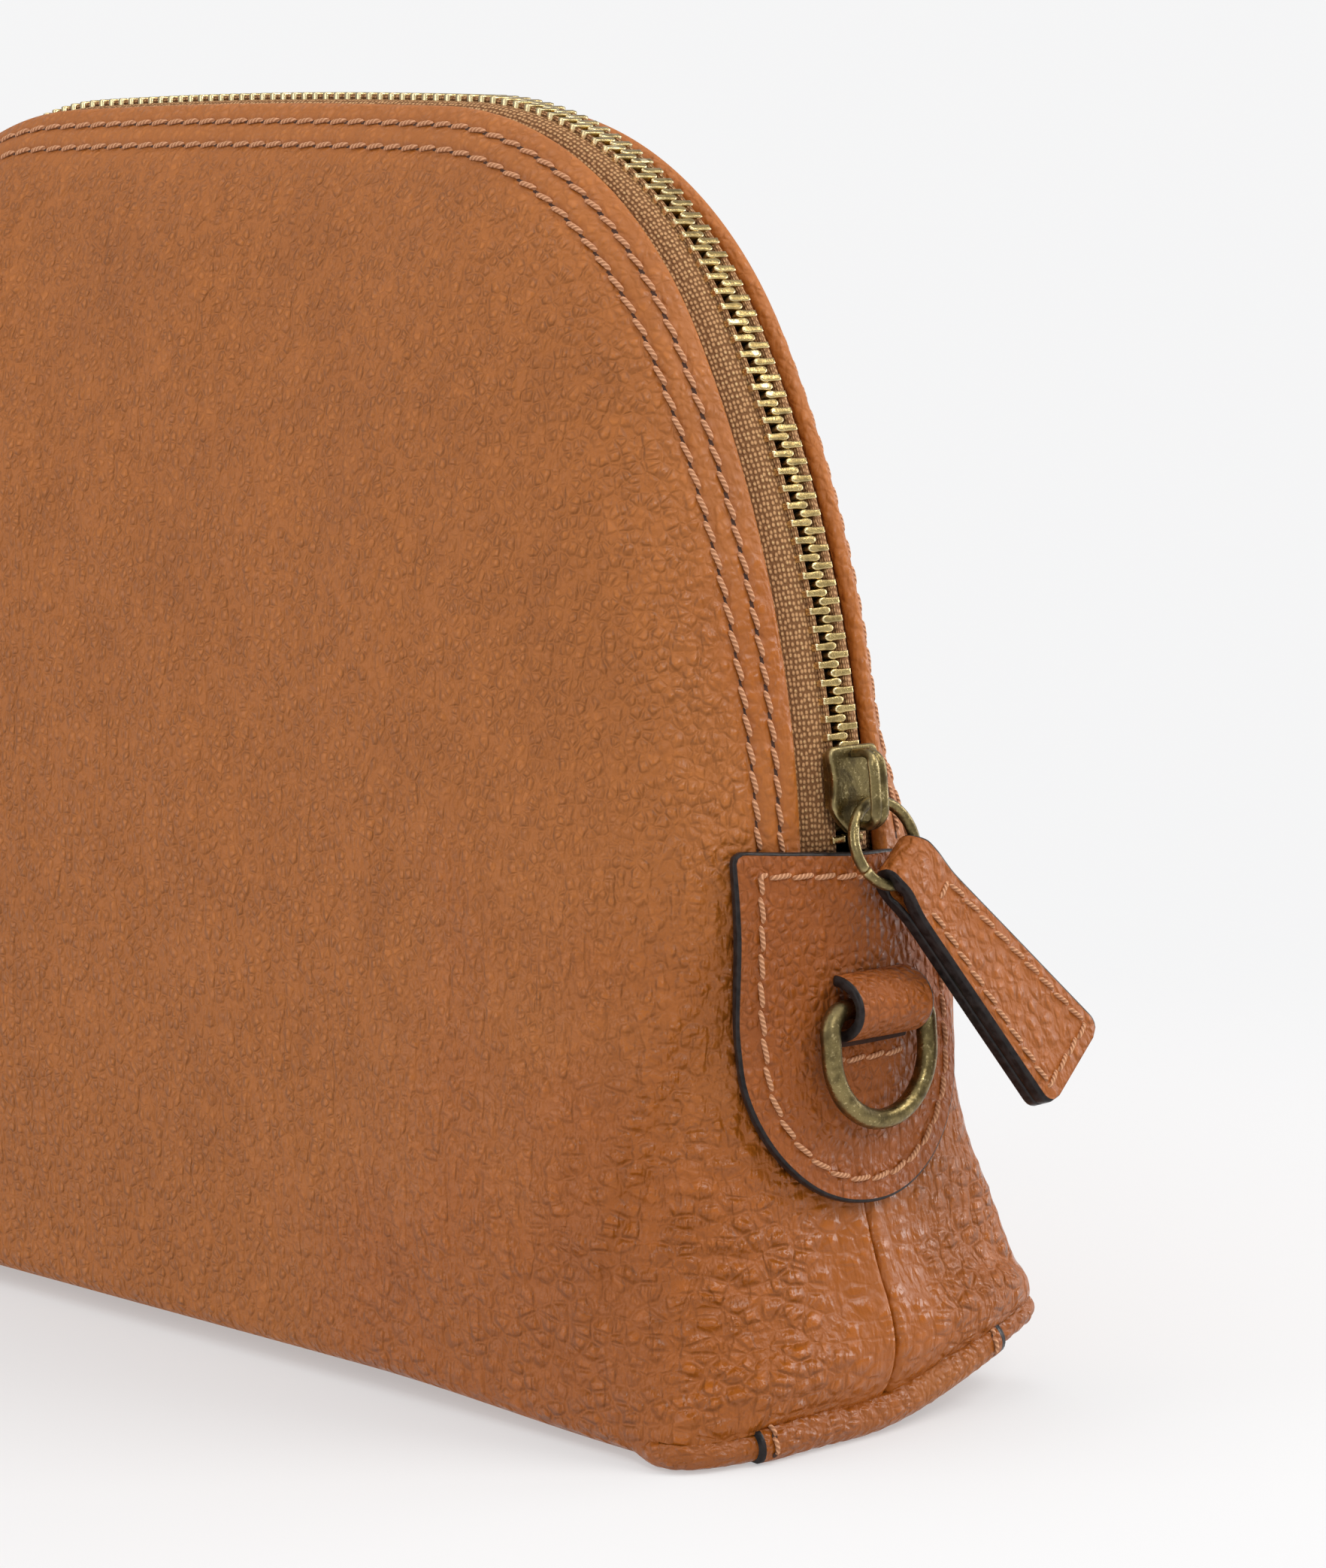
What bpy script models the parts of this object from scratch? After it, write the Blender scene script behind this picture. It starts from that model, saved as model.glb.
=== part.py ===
"""Dome-topped leather pouch with a metal zip, a leather zip pull and a D-ring at each end.

X runs along the pouch, the front faces -Y, Z is up and the base rests on Z = 0.
Lengths below are in millimetres; every mesh is written in metres.
"""
import math

import bmesh
import bpy
import numpy as np
from mathutils import Vector
from mathutils.bvhtree import BVHTree

for startup in list(bpy.data.objects):
    bpy.data.objects.remove(startup, do_unlink=True)

MM = 0.001

# Overall sizes
LENGTH = 242.0  # base, end to end, at the bottom seams
DEPTH = 72.4  # base, front edge to back edge
HEIGHT = 185.3  # floor to the top of the closed zip chain

# Leather, lining and tape
LEATHER = 1.3
TURNED_EDGE = 2.6  # leather folded back on itself along the zip
LINING = 0.6
TAPE = 0.5
GAP = 0.35  # air left between pieces that lie on each other
ZIP_GAP = 8.0  # zip centre to the outer face of the turned edge
CORNER_LIFT = 8.0  # how far the rear corners curl up off the floor

# Zip
PITCH = 2.5
TOOTH = 0.95
CHAIN_THICK = 2.4
CHAIN_HALF = 2.9
SLIDER_LENGTH = 12.0
SLIDER_HALF = 4.75
CROWN_WIDTH = 3.2
CROWN_HEIGHT = 4.7

# Pull
RING_R = 5.95
RING_WIRE = 0.8
RING_LEAN = math.radians(18.5)
PULL_ANGLE = math.radians(54.0)
PULL_LENGTH = 37.5
PULL_END = 17.0
PULL_NECK = 9.2
PULL_THICK = 4.0

# End tabs and D-rings
TAB_TOP = 82.3
TAB_HALF = 20.5
TAB_BOTTOM = 32.0
TAB_THICK = 1.8
TAB_GAP = 0.5
D_HALF = 9.55
D_DROP = 15.85
D_WIRE = 1.45
D_HEIGHT = 60.0
D_LEAN = math.radians(5.0)
LOOP_WIDTH = 14.5
LOOP_THICK = 1.6

# Line of the closed chain, seen from the front: arcs as (radius, heading at its end)
ARCS = ((1436.0, 0.031), (63.3, 1.0542), (159.1, 1.5335))
# Side seam below the zip, as X and Z at the nominal sizes
SEAM = (
    (118.6, 70.0), (119.2, 58.0), (120.0, 44.0), (121.6, 33.0), (124.3, 24.0),
    (127.0, 17.5), (128.0, 12.5), (127.2, 8.0), (125.2, 4.6),
)
# Panel shape at heights along that line: path Z, foot X, reach out of the edge,
# reach up from the foot, and the foot's heading towards +X
SHAPE = (
    (185.3, 0.0, 30.0, 70.0, 0.0), (184.6, 36.0, 30.0, 70.0, 0.0),
    (177.0, 57.0, 28.0, 64.0, 0.05), (152.6, 74.0, 26.0, 55.0, 0.12),
    (121.0, 88.0, 24.0, 45.0, 0.15), (80.0, 99.0, 22.0, 32.0, 0.2),
    (58.0, 105.5, 23.0, 24.0, 0.25), (44.0, 109.5, 23.0, 19.0, 0.35),
    (33.0, 112.5, 23.0, 15.0, 0.45), (24.0, 114.5, 23.0, 11.0, 0.6),
    (17.5, 116.0, 23.0, 9.0, 0.8), (12.5, 116.8, 23.0, 7.5, 1.1),
    (8.0, 117.2, 23.0, 7.0, 1.35), (4.6, 117.5, 23.0, 7.0, 1.5708),
)
SCALE_X = LENGTH / 242.0
SCALE_Z = HEIGHT / 185.3
HALF_DEPTH = DEPTH / 2


def smooth(t):
    t = min(1.0, max(0.0, t))
    return t * t * (3 - 2 * t)


def material(name, colour, roughness, metallic=0.0):
    m = bpy.data.materials.new(name)
    m.use_nodes = True
    b = m.node_tree.nodes["Principled BSDF"]
    b.inputs["Base Color"].default_value = (*colour, 1.0)
    b.inputs["Roughness"].default_value = roughness
    b.inputs["Metallic"].default_value = metallic
    m.diffuse_color = (*colour, 1.0)
    return m


LEATHER_MAT = material("leather_tan", (0.40, 0.15, 0.045), 0.5)
TAB_MAT = material("leather_tab", (0.36, 0.12, 0.03), 0.45)
LINING_MAT = material("lining_cloth", (0.30, 0.17, 0.09), 0.9)
TAPE_MAT = material("zip_tape", (0.20, 0.09, 0.04), 0.8)
TEETH_MAT = material("zip_brass", (0.60, 0.43, 0.16), 0.3, 1.0)
ANTIQUE_MAT = material("antique_brass", (0.25, 0.20, 0.08), 0.35, 1.0)


# ---------------------------------------------------------------- the chain line
def chain_line():
    """Points of the right half, apex first, every half millimetre or so."""
    x, z, heading = 0.0, 185.3, 0.0
    points = [(x, z)]
    for radius, end in ARCS:
        steps = max(4, int(radius * (end - heading) / 0.5))
        turn = (end - heading) / steps
        for _ in range(steps):
            middle = heading + turn / 2
            x += radius * turn * math.cos(middle)
            z -= radius * turn * math.sin(middle)
            heading += turn
            points.append((x, z))
    ends = [points[-8], points[-1]] + list(SEAM)
    ends.append((2 * SEAM[-1][0] - SEAM[-2][0], 2 * SEAM[-1][1] - SEAM[-2][1]))
    for i in range(1, len(ends) - 2):
        a, b, c, d = (np.array(p) for p in ends[i - 1:i + 3])
        if i == 1:
            a = b + (b - a) * 5
            a = 2 * b - a
        for t in np.linspace(0, 1, 17)[1:]:
            p = 0.5 * (2 * b + (c - a) * t + (2 * a - 5 * b + 4 * c - d) * t**2
                       + (3 * b - a - 3 * c + d) * t**3)
            points.append(tuple(p))
    line = np.array(points)
    return line * (SCALE_X, SCALE_Z)


LINE = chain_line()
RUN = np.concatenate(([0.0], np.cumsum(np.linalg.norm(np.diff(LINE, axis=0), axis=1))))
LINE_Z = LINE[:, 1] / SCALE_Z


def run_at(z):
    """Distance along the line, from the apex, at which it is at nominal height z."""
    return float(np.interp(-z, -LINE_Z, RUN))


ZIP_END = run_at(80.0)


def line_at(run):
    """Point, downward heading and outward normal (both in XZ) at a distance from the apex."""
    side = -1.0 if run < 0 else 1.0
    s = min(abs(run), RUN[-1])
    x, z = np.interp(s, RUN, LINE[:, 0]), np.interp(s, RUN, LINE[:, 1])
    lo, hi = max(0.0, s - 1.0), min(RUN[-1], s + 1.0)
    tx = np.interp(hi, RUN, LINE[:, 0]) - np.interp(lo, RUN, LINE[:, 0])
    tz = np.interp(hi, RUN, LINE[:, 1]) - np.interp(lo, RUN, LINE[:, 1])
    k = math.hypot(tx, tz)
    tx, tz = tx / k, tz / k
    return np.array([side * x, z]), np.array([side * tx, tz]), np.array([-side * tz, tx])


# ---------------------------------------------------------------- the soft body
def shape_at(s):
    z = np.interp(s, RUN, LINE_Z)
    table = np.array(SHAPE)
    if s < run_at(184.6):
        t = s / run_at(184.6)
        row = table[0] * (1 - t) + table[1] * t
        return row[1:]
    return np.array([np.interp(-z, -table[1:, 0], table[1:, k]) for k in range(1, 5)])


def lifted(p, side_sign):
    """The rear corners curl up a little off the floor."""
    x, y, z = p
    along = smooth((abs(x) / SCALE_X - 80.0) / 40.0)
    back = smooth((y / HALF_DEPTH + 0.15) / 1.15)
    low = 1.0 - smooth(z / 45.0)
    return (x, y, z + CORNER_LIFT * along * back * low)


def column(run, joined=False, back=False):
    """Outer face of a panel from the zip edge, down the front, to the base's middle.

    Along the side arc the back panel falls away from the zip more steeply than the front does.
    """
    s = abs(run)
    side = -1.0 if run < 0 else 1.0
    (x, z), _, (nx, nz) = line_at(s)
    foot_x, reach, rise, heading = shape_at(s)
    fade = smooth((s - ZIP_END) / 9.0)
    half = ZIP_GAP * (1 - fade) + 0.15 * fade
    sink = 1.1 * (1 - fade)
    turn = math.acos(min(1.0, max(-1.0, nz)))
    lean = smooth((s - ZIP_END + 42.0) / 46.0) if back else 1.0
    flare = math.radians(45.0 + 43.0 * min(1.0, turn / 1.45) * lean + 2.0 * fade)
    reach = reach * (0.4 + 0.6 * HALF_DEPTH / 36.2)
    p0 = np.array([x - sink * nx, -half, z - sink * nz])
    out = np.array([-nx * math.cos(flare), -math.sin(flare), -nz * math.cos(flare)])
    p1 = p0 + reach * out
    if s > ZIP_END - 60:
        droop = smooth((s - ZIP_END + 60) / 60) * 2.0 * smooth((z - 3.0) / 20.0)
        p1[2] -= droop
    if joined:
        p0 = np.array([x, 0.0, z])
    p3 = np.array([foot_x * SCALE_X, -HALF_DEPTH, 5.6])
    up = np.array([math.sin(heading), -0.03, math.cos(heading)])
    p2 = p3 + up * rise * (SCALE_Z if heading < 0.8 else 1.0)
    points = []
    for t in np.linspace(0, 1, V_STEPS + 1):
        u = 1 - t
        points.append(u**3 * p0 + 3 * u * u * t * p1 + 3 * u * t * t * p2 + t**3 * p3)
    for a in (30.0, 60.0, 90.0):
        r = math.radians(a)
        points.append(np.array([p3[0], -HALF_DEPTH + 3.3 * (1 - math.cos(r)),
                                5.6 - 3.3 * math.sin(r)]))
    base_x = min(p3[0] + 1.5 * smooth((p3[0] / SCALE_X - 100) / 17), 119.0 * SCALE_X)
    start = points[-1]
    for t in (0.2, 0.4, 0.6, 0.8, 1.0):
        points.append(np.array([start[0] + (base_x - start[0]) * t,
                                start[1] * (1 - t) - 0.15 * t, 2.3]))
    points = np.array(points)
    points[:, 0] *= side
    return points


V_STEPS = 9
RUNS = sorted(
    list(np.linspace(0, run_at(184.6), 4)[:-1])
    + list(np.linspace(run_at(184.6), run_at(152.6), 7)[:-1])
    + list(np.linspace(run_at(152.6), ZIP_END, 7)[:-1])
    + list(np.linspace(ZIP_END, ZIP_END + 9, 4)[:-1])
    + list(np.linspace(ZIP_END + 9, RUN[-1], 9))
)
RUNS = [-s for s in reversed(RUNS[1:])] + RUNS


def outer_grid(back, joined=False, runs=RUNS):
    grid = np.array([column(s, joined, back) for s in runs])
    if back:
        grid[:, :, 1] *= -1
    flat = [lifted(p, 1) for p in grid.reshape(-1, 3)]
    return np.array(flat).reshape(grid.shape)


def grid_normals(grid, back):
    du = np.gradient(grid, axis=0)
    dv = np.gradient(grid, axis=1)
    n = np.cross(du, dv)
    n /= np.maximum(np.linalg.norm(n, axis=2, keepdims=True), 1e-9)
    if not back:
        n = -n
    return n


def edge_distance(grid):
    step = np.linalg.norm(np.diff(grid, axis=1), axis=2)
    return np.concatenate([np.zeros((len(grid), 1)), np.cumsum(step, axis=1)], axis=1)


def tidy(mesh_data, name):
    bm = bmesh.new()
    vertices, faces = mesh_data
    made = [bm.verts.new(Vector(v) * MM) for v in vertices]
    for f in faces:
        bm.faces.new([made[i] for i in f])
    bmesh.ops.recalc_face_normals(bm, faces=bm.faces[:])
    me = bpy.data.meshes.new(name)
    bm.to_mesh(me)
    bm.free()
    return me


def place(name, mesh, mat, rounded=True):
    ob = bpy.data.objects.new(name, mesh)
    bpy.context.scene.collection.objects.link(ob)
    mesh.materials.append(mat)
    for p in mesh.polygons:
        p.use_smooth = rounded
    return ob


def slab(outer, inner):
    """Closed solid between two matching grids."""
    rows, cols = outer.shape[:2]
    vertices = np.concatenate([outer.reshape(-1, 3), inner.reshape(-1, 3)])
    shift = rows * cols
    faces = []
    for i in range(rows - 1):
        for j in range(cols - 1):
            a, b = i * cols + j, (i + 1) * cols + j
            faces.append((a, b, b + 1, a + 1))
            faces.append((shift + a, shift + a + 1, shift + b + 1, shift + b))
    rim = [i * cols for i in range(rows)]
    rim += [(rows - 1) * cols + j for j in range(1, cols)]
    rim += [i * cols + cols - 1 for i in range(rows - 2, -1, -1)]
    rim += [j for j in range(cols - 2, 0, -1)]
    for k, a in enumerate(rim):
        b = rim[(k + 1) % len(rim)]
        faces.append((a, b, shift + b, shift + a))
    return vertices, faces


def own_side(grid, back):
    """Keeps the front's points in front of the middle, and the back's behind it."""
    y = grid[:, :, 1]
    grid[:, :, 1] = np.maximum(y, 0.2) if back else np.minimum(y, -0.2)
    return grid


def soft_panels():
    for back, word in ((False, "front"), (True, "back")):
        outer = outer_grid(back)
        normals = grid_normals(outer, back)
        away = edge_distance(outer)
        by_run = np.array([1 - smooth((abs(s) - ZIP_END) / 8.0) for s in RUNS])[:, None]
        turned = np.vectorize(lambda d: 1 - smooth((d - 9.0) / 3.0))(away) * by_run
        thick = LEATHER + (TURNED_EDGE - LEATHER) * turned
        inner = own_side(outer - normals * thick[:, :, None], back)
        place(word + "_panel", tidy(slab(outer, inner), word + "_panel"), LEATHER_MAT)
        held = np.vectorize(lambda d: 1 - smooth((d - 12.0) / 10.0))(away) * by_run
        behind = LEATHER + 0.4 + held * (TURNED_EDGE - LEATHER + TAPE + GAP + 0.5)
        near = own_side(outer - normals * behind[:, :, None], back)
        far = own_side(outer - normals * (behind + LINING)[:, :, None], back)
        place("lining_" + word, tidy(slab(near, far), "lining_" + word), LINING_MAT)


def swept_strip(sections):
    """Closed solid through matching cross-section loops."""
    size = len(sections[0])
    vertices = [p for loop in sections for p in loop]
    faces = []
    for i in range(len(sections) - 1):
        for j in range(size):
            k = (j + 1) % size
            a, b = i * size, (i + 1) * size
            faces.append((a + j, a + k, b + k, b + j))
    faces.append(tuple(range(size)))
    last = (len(sections) - 1) * size
    faces.append(tuple(last + j for j in reversed(range(size))))
    return vertices, faces


def tapes():
    """Woven tape: flat beside the chain, then turned down behind the leather's edge."""
    runs = np.linspace(-(ZIP_END - 0.6), ZIP_END - 0.6, 53)
    for back, word in ((False, "front"), (True, "back")):
        sign = 1.0 if back else -1.0
        grid = np.array([column(s, back=back) for s in runs])
        normals = grid_normals(grid, False)
        away = edge_distance(grid)
        sections = []
        for i, s in enumerate(runs):
            (x, z), _, (nx, nz) = line_at(s)
            under = TURNED_EDGE + 0.6 + TAPE / 2
            middle = [np.array([x - n * nx, -y, z - n * nz]) for y, n in ((3.25, 1.2), (4.3, 1.35))]
            for d in (0.3, 5.5, 10.5):
                p = [np.interp(d, away[i], grid[i, :, k]) for k in range(3)]
                m = [np.interp(d, away[i], normals[i, :, k]) for k in range(3)]
                middle.append(np.array(p) - under * np.array(m))
            middle = np.array(middle)
            lean = np.gradient(middle, axis=0)
            forward = np.array([nz, 0.0, -nx])
            up = np.cross(lean, forward)
            up /= np.linalg.norm(up, axis=1, keepdims=True)
            loop = list(middle + up * TAPE / 2) + list((middle - up * TAPE / 2)[::-1])
            loop = [np.array([p[0], -sign * p[1], p[2]]) for p in loop]
            sections.append(loop)
        place("zipper_tape_" + word, tidy(swept_strip(sections), "tape_" + word), TAPE_MAT)


# ---------------------------------------------------------------- the zip
SLIDER_RUN = run_at(89.4)
ROW_END = SLIDER_RUN - 1.0
ROW_START = -(run_at(88.0))


def tooth_row(back):
    """One side of the chain: a cord with teeth that reach past the middle."""
    sign = 1.0 if back else -1.0
    first = ROW_START + 0.8 + (PITCH / 2 if back else 0.0)
    stations = [(ROW_START, False)]
    s = first
    while s + TOOTH < ROW_END - 0.2:
        stations.append((s, True))
        stations.append((s + TOOTH, False))
        s += PITCH
    stations.append((ROW_END, False))
    vertices, faces = [], []

    def add(run, y, n):
        (x, z), _, (nx, nz) = line_at(run)
        vertices.append((x + n * nx, sign * y, z + n * nz))
        return len(vertices) - 1

    low, high = -CHAIN_THICK, 0.0
    rings = []
    for i, (run, _) in enumerate(stations):
        ring = {
            "out": (add(run, CHAIN_HALF, high), add(run, CHAIN_HALF, low)),
            "cord": (add(run, 1.75, high), add(run, 1.75, low)),
        }
        if 0 < i < len(stations) - 1:
            ring["tip"] = (add(run, -1.0, high), add(run, -1.0, low))
        rings.append(ring)
    for i in range(len(rings) - 1):
        a, b, is_tooth = rings[i], rings[i + 1], stations[i][1]
        faces.append((a["out"][0], b["out"][0], b["out"][1], a["out"][1]))
        for k in (0, 1):
            if is_tooth:
                face = [a["out"][k], b["out"][k], b["cord"][k], b["tip"][k], a["tip"][k], a["cord"][k]]
            else:
                face = [a["out"][k], b["out"][k], b["cord"][k], a["cord"][k]]
            faces.append(tuple(face if k == 0 else reversed(face)))
        edge = "tip" if is_tooth else "cord"
        faces.append((a[edge][0], b[edge][0], b[edge][1], a[edge][1]))
    for ring in rings[1:-1]:
        faces.append((ring["cord"][0], ring["tip"][0], ring["tip"][1], ring["cord"][1]))
    for ring in (rings[0], rings[-1]):
        faces.append((ring["out"][0], ring["cord"][0], ring["cord"][1], ring["out"][1]))
    return vertices, faces


def on_chain(run):
    """Maps (along, across, out) beside the chain to space."""
    (x, z), (tx, tz), (nx, nz) = line_at(run)

    def at(a, y, n):
        return (x + a * tx + n * nx, y, z + a * tz + n * nz)

    return at


def prism(outline, low, high, at):
    """Plan outline in (along, across), between two heights above the chain line."""
    size = len(outline)
    vertices = [at(a, y, low) for a, y in outline] + [at(a, y, high) for a, y in outline]
    faces = [tuple(range(size)), tuple(size + j for j in reversed(range(size)))]
    for j in range(size):
        k = (j + 1) % size
        faces.append((j, k, size + k, size + j))
    return vertices, faces


def arch(profile, half, at):
    """Profile in (along, out), carried across the chain."""
    size = len(profile)
    vertices = [at(a, -half, n) for a, n in profile] + [at(a, half, n) for a, n in profile]
    faces = [tuple(range(size)), tuple(size + j for j in reversed(range(size)))]
    for j in range(size):
        k = (j + 1) % size
        faces.append((j, k, size + k, size + j))
    return vertices, faces


def hidden_cutter(name, data):
    me = tidy(data, name)
    ob = bpy.data.objects.new(name, me)
    bpy.context.scene.collection.objects.link(ob)
    ob.hide_render = True
    ob.display_type = "WIRE"
    return ob


def combine(target, tool, operation):
    mod = target.modifiers.new(tool.name, "BOOLEAN")
    mod.operation = operation
    mod.solver = "EXACT"
    mod.object = tool


def slider():
    at = on_chain(SLIDER_RUN)
    half, end = SLIDER_HALF, SLIDER_LENGTH / 2
    plan = [(-end, half * 0.92), (-end + 1.2, half), (-1.5, half * 0.88), (1.6, half),
            (3.2, half * 0.86), (end, half * 0.45)]
    plan = plan + [(a, -y) for a, y in reversed(plan)]
    top, bottom = GAP, -CHAIN_THICK - GAP
    body = place("slider_body", tidy(prism(plan, top, top + 1.4, at), "slider_body"), ANTIQUE_MAT, False)
    under = hidden_cutter("slider_under", prism(plan, bottom - 1.2, bottom, at))
    wedge_plan = [(0.2, 0.0), (1.6, 1.1), (4.2, 1.1), (5.4, 0.0), (4.2, -1.1), (1.6, -1.1)]
    wedge = hidden_cutter("slider_wedge", prism(wedge_plan, bottom - 0.5, top + 0.5, at))
    combine(body, under, "UNION")
    combine(body, wedge, "UNION")
    for sign, word in ((-1, "front"), (1, "back")):
        inner, outer = 3.55 * sign, (half * 0.84) * sign
        rail = [(-end + 0.6, inner), (-end + 0.6, outer), (2.4, outer), (2.4, inner)]
        upper = hidden_cutter("rail_up_" + word, prism(rail, -1.2 + TAPE / 2 + 0.3, top + 0.3, at))
        lower = hidden_cutter("rail_low_" + word, prism(rail, bottom - 0.3, -1.5 - TAPE / 2 - 0.3, at))
        combine(body, upper, "UNION")
        combine(body, lower, "UNION")
    foot = top + 1.4 + 0.3
    crest = top + 1.4 + CROWN_HEIGHT
    profile = [(-5.6, foot), (-5.6, crest - 2.2), (-5.0, crest - 0.8), (-3.8, crest), (3.6, crest),
               (5.0, crest - 0.8), (5.8, crest - 2.4), (5.8, foot), (4.4, foot), (4.4, crest - 2.2),
               (3.4, crest - 1.0), (-3.4, crest - 1.0), (-4.2, crest - 2.2), (-4.2, foot)]
    place("slider_crown", tidy(arch(profile, CROWN_WIDTH / 2, at), "slider_crown"), ANTIQUE_MAT, False)


def stops():
    at = on_chain(SLIDER_RUN + SLIDER_LENGTH / 2 + 1.0)
    for sign, word in ((-1, "front"), (1, "back")):
        plan = [(-0.5, 0.5 * sign), (0.5, 0.5 * sign), (0.5, 2.95 * sign), (-0.5, 2.95 * sign)]
        place("top_stop_" + word, tidy(prism(plan, -CHAIN_THICK, -0.35, at), "top_stop"), TEETH_MAT, False)
    at = on_chain(ROW_START - 2.2)
    plan = [(-1.8, -2.9), (1.8, -2.9), (1.8, 2.9), (-1.8, 2.9)]
    place("bottom_stop", tidy(prism(plan, -CHAIN_THICK - 0.2, 0.1, at), "bottom_stop"), TEETH_MAT, False)


# ---------------------------------------------------------------- ring and pull
def crown_hole():
    return np.array(on_chain(SLIDER_RUN)(2.2, 0.0, GAP + 1.4 + 1.65))


def ring_frame():
    hang = np.array([math.sin(RING_LEAN), 0.0, -math.cos(RING_LEAN)])
    centre = crown_hole() + np.array([0.0, 1.8, 0.0]) + hang * math.sqrt(RING_R**2 - 1.8**2)
    across = np.array([0.0, 1.0, 0.0])
    normal = np.array([math.cos(RING_LEAN), 0.0, math.sin(RING_LEAN)])
    return centre, across, hang, normal


def tube_loop(path, radius, sides, planes):
    """Round wire along a closed path; planes gives each point's two section axes."""
    vertices, faces = [], []
    for p, (u, v) in zip(path, planes):
        for k in range(sides):
            a = 2 * math.pi * k / sides
            vertices.append(p + radius * (math.cos(a) * u + math.sin(a) * v))
    count = len(path)
    for i in range(count):
        for k in range(sides):
            a, b = i * sides, ((i + 1) % count) * sides
            m = (k + 1) % sides
            faces.append((a + k, a + m, b + m, b + k))
    return vertices, faces


def circle_wire(centre, u, v, normal, radius, wire, count, sides):
    path, planes = [], []
    for i in range(count):
        a = 2 * math.pi * i / count
        spoke = math.cos(a) * u + math.sin(a) * v
        path.append(centre + radius * spoke)
        planes.append((spoke, normal))
    return tube_loop(path, wire, sides, planes)


def pull():
    centre, across, hang, normal = ring_frame()
    data = circle_wire(centre, across, hang, normal, RING_R, RING_WIRE, 36, 8)
    place("pull_ring", tidy(data, "pull_ring"), ANTIQUE_MAT)
    length = math.cos(PULL_ANGLE) * across + math.sin(PULL_ANGLE) * hang
    width = math.sin(PULL_ANGLE) * across - math.cos(PULL_ANGLE) * hang
    root = centre + RING_R * length
    half_thick = PULL_THICK / 2
    stations = [(-4.1, 0.7, 0.86), (-3.7, 1.5, 0.93), (-2.8, 2.3, 1.0), (-1.2, 2.75, 1.0),
                (0.8, 2.75, 1.0), (2.4, 2.4, 1.0), (4.0, half_thick, 1.0)]
    slope = (PULL_END - PULL_NECK) / (PULL_LENGTH - 2.5)
    for a in (14.0, 24.0, PULL_LENGTH - 2.6):
        stations.append((a, half_thick, (PULL_NECK + slope * a) / PULL_NECK))
    stations.append((PULL_LENGTH - 0.8, half_thick, (PULL_END - 1.2) / PULL_NECK))
    stations.append((PULL_LENGTH, half_thick, (PULL_END - 4.4) / PULL_NECK))
    sections = []
    for a, t, w in stations:
        h = PULL_NECK / 2 * w
        edge = min(0.4, t * 0.5)
        ring = [(-h, -t + edge), (-h + edge, -t), (h - edge, -t), (h, -t + edge),
                (h, t - edge), (h - edge, t), (-h + edge, t), (-h, t - edge)]
        sections.append([root + a * length + y * width + n * normal for y, n in ring])
    strap = place("pull_strap", tidy(swept_strip(sections), "pull_strap"), TAB_MAT)
    bore = circle_wire(centre, across, hang, normal, RING_R, RING_WIRE + GAP, 48, 12)
    combine(strap, hidden_cutter("pull_eye", bore), "DIFFERENCE")


# ---------------------------------------------------------------- end tabs and D-rings
def side_surface():
    """The end of the pouch as one closed skin, to lay the tab on."""
    runs = [s for s in RUNS if s > run_at(155.0)]
    vertices, faces = [], []
    for back, joined in ((False, True), (True, True), (False, False), (True, False)):
        grid = outer_grid(back, joined, runs)[:, :V_STEPS + 1]
        rows, cols = grid.shape[:2]
        base = len(vertices)
        vertices += [Vector(p) for p in grid.reshape(-1, 3)]
        for i in range(rows - 1):
            for j in range(cols - 1):
                a, b = base + i * cols + j, base + (i + 1) * cols + j
                faces.append((a, b, b + 1, a + 1))
    return BVHTree.FromPolygons(vertices, faces)


SIDE = side_surface()


def side_point(y, z):
    hit, normal, _, _ = SIDE.ray_cast(Vector((400.0, y if abs(y) > 0.02 else 0.02, z)), Vector((-1, 0, 0)))
    if normal.x < 0:
        normal = -normal
    return np.array(hit), np.array(normal)


def side_normal(y, z):
    """Face direction averaged over a little patch, so the tab stays even."""
    total = np.zeros(3)
    for dy in (-3.0, 0.0, 3.0):
        for dz in (-3.0, 0.0, 3.0):
            total += side_point(y + dy, z + dz)[1]
    return total / np.linalg.norm(total)


def tab_half(z):
    centre = TAB_BOTTOM * SCALE_Z + TAB_HALF
    if z >= centre:
        return TAB_HALF
    return math.sqrt(max(9.0, TAB_HALF**2 - (centre - z) ** 2))


def tab_grids(sign):
    top, low = TAB_TOP * SCALE_Z, TAB_BOTTOM * SCALE_Z + 0.25
    heights = np.concatenate([np.linspace(top, low + TAB_HALF, 7)[:-1],
                              low + TAB_HALF * (1 - np.sin(np.linspace(0, math.pi / 2, 8)))])
    inner, outer = [], []
    for z in heights:
        row_in, row_out = [], []
        for t in np.linspace(-1, 1, 15):
            p, _ = side_point(t * tab_half(z), z)
            m = side_normal(t * tab_half(z), z)
            row_in.append(p + m * TAB_GAP)
            row_out.append(p + m * (TAB_GAP + TAB_THICK))
        inner.append(row_in)
        outer.append(row_out)
    inner, outer = np.array(inner), np.array(outer)
    inner[:, :, 0] *= sign
    outer[:, :, 0] *= sign
    return outer, inner


def d_hinge():
    """Middle of the D-ring's straight bar."""
    z = D_HEIGHT * SCALE_Z
    face = max(side_point(y, z + dz)[0][0] for y in (-7.0, 0.0, 7.0) for dz in (-5.0, 0.0, 5.0))
    return face + TAB_GAP + TAB_THICK, z


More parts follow.
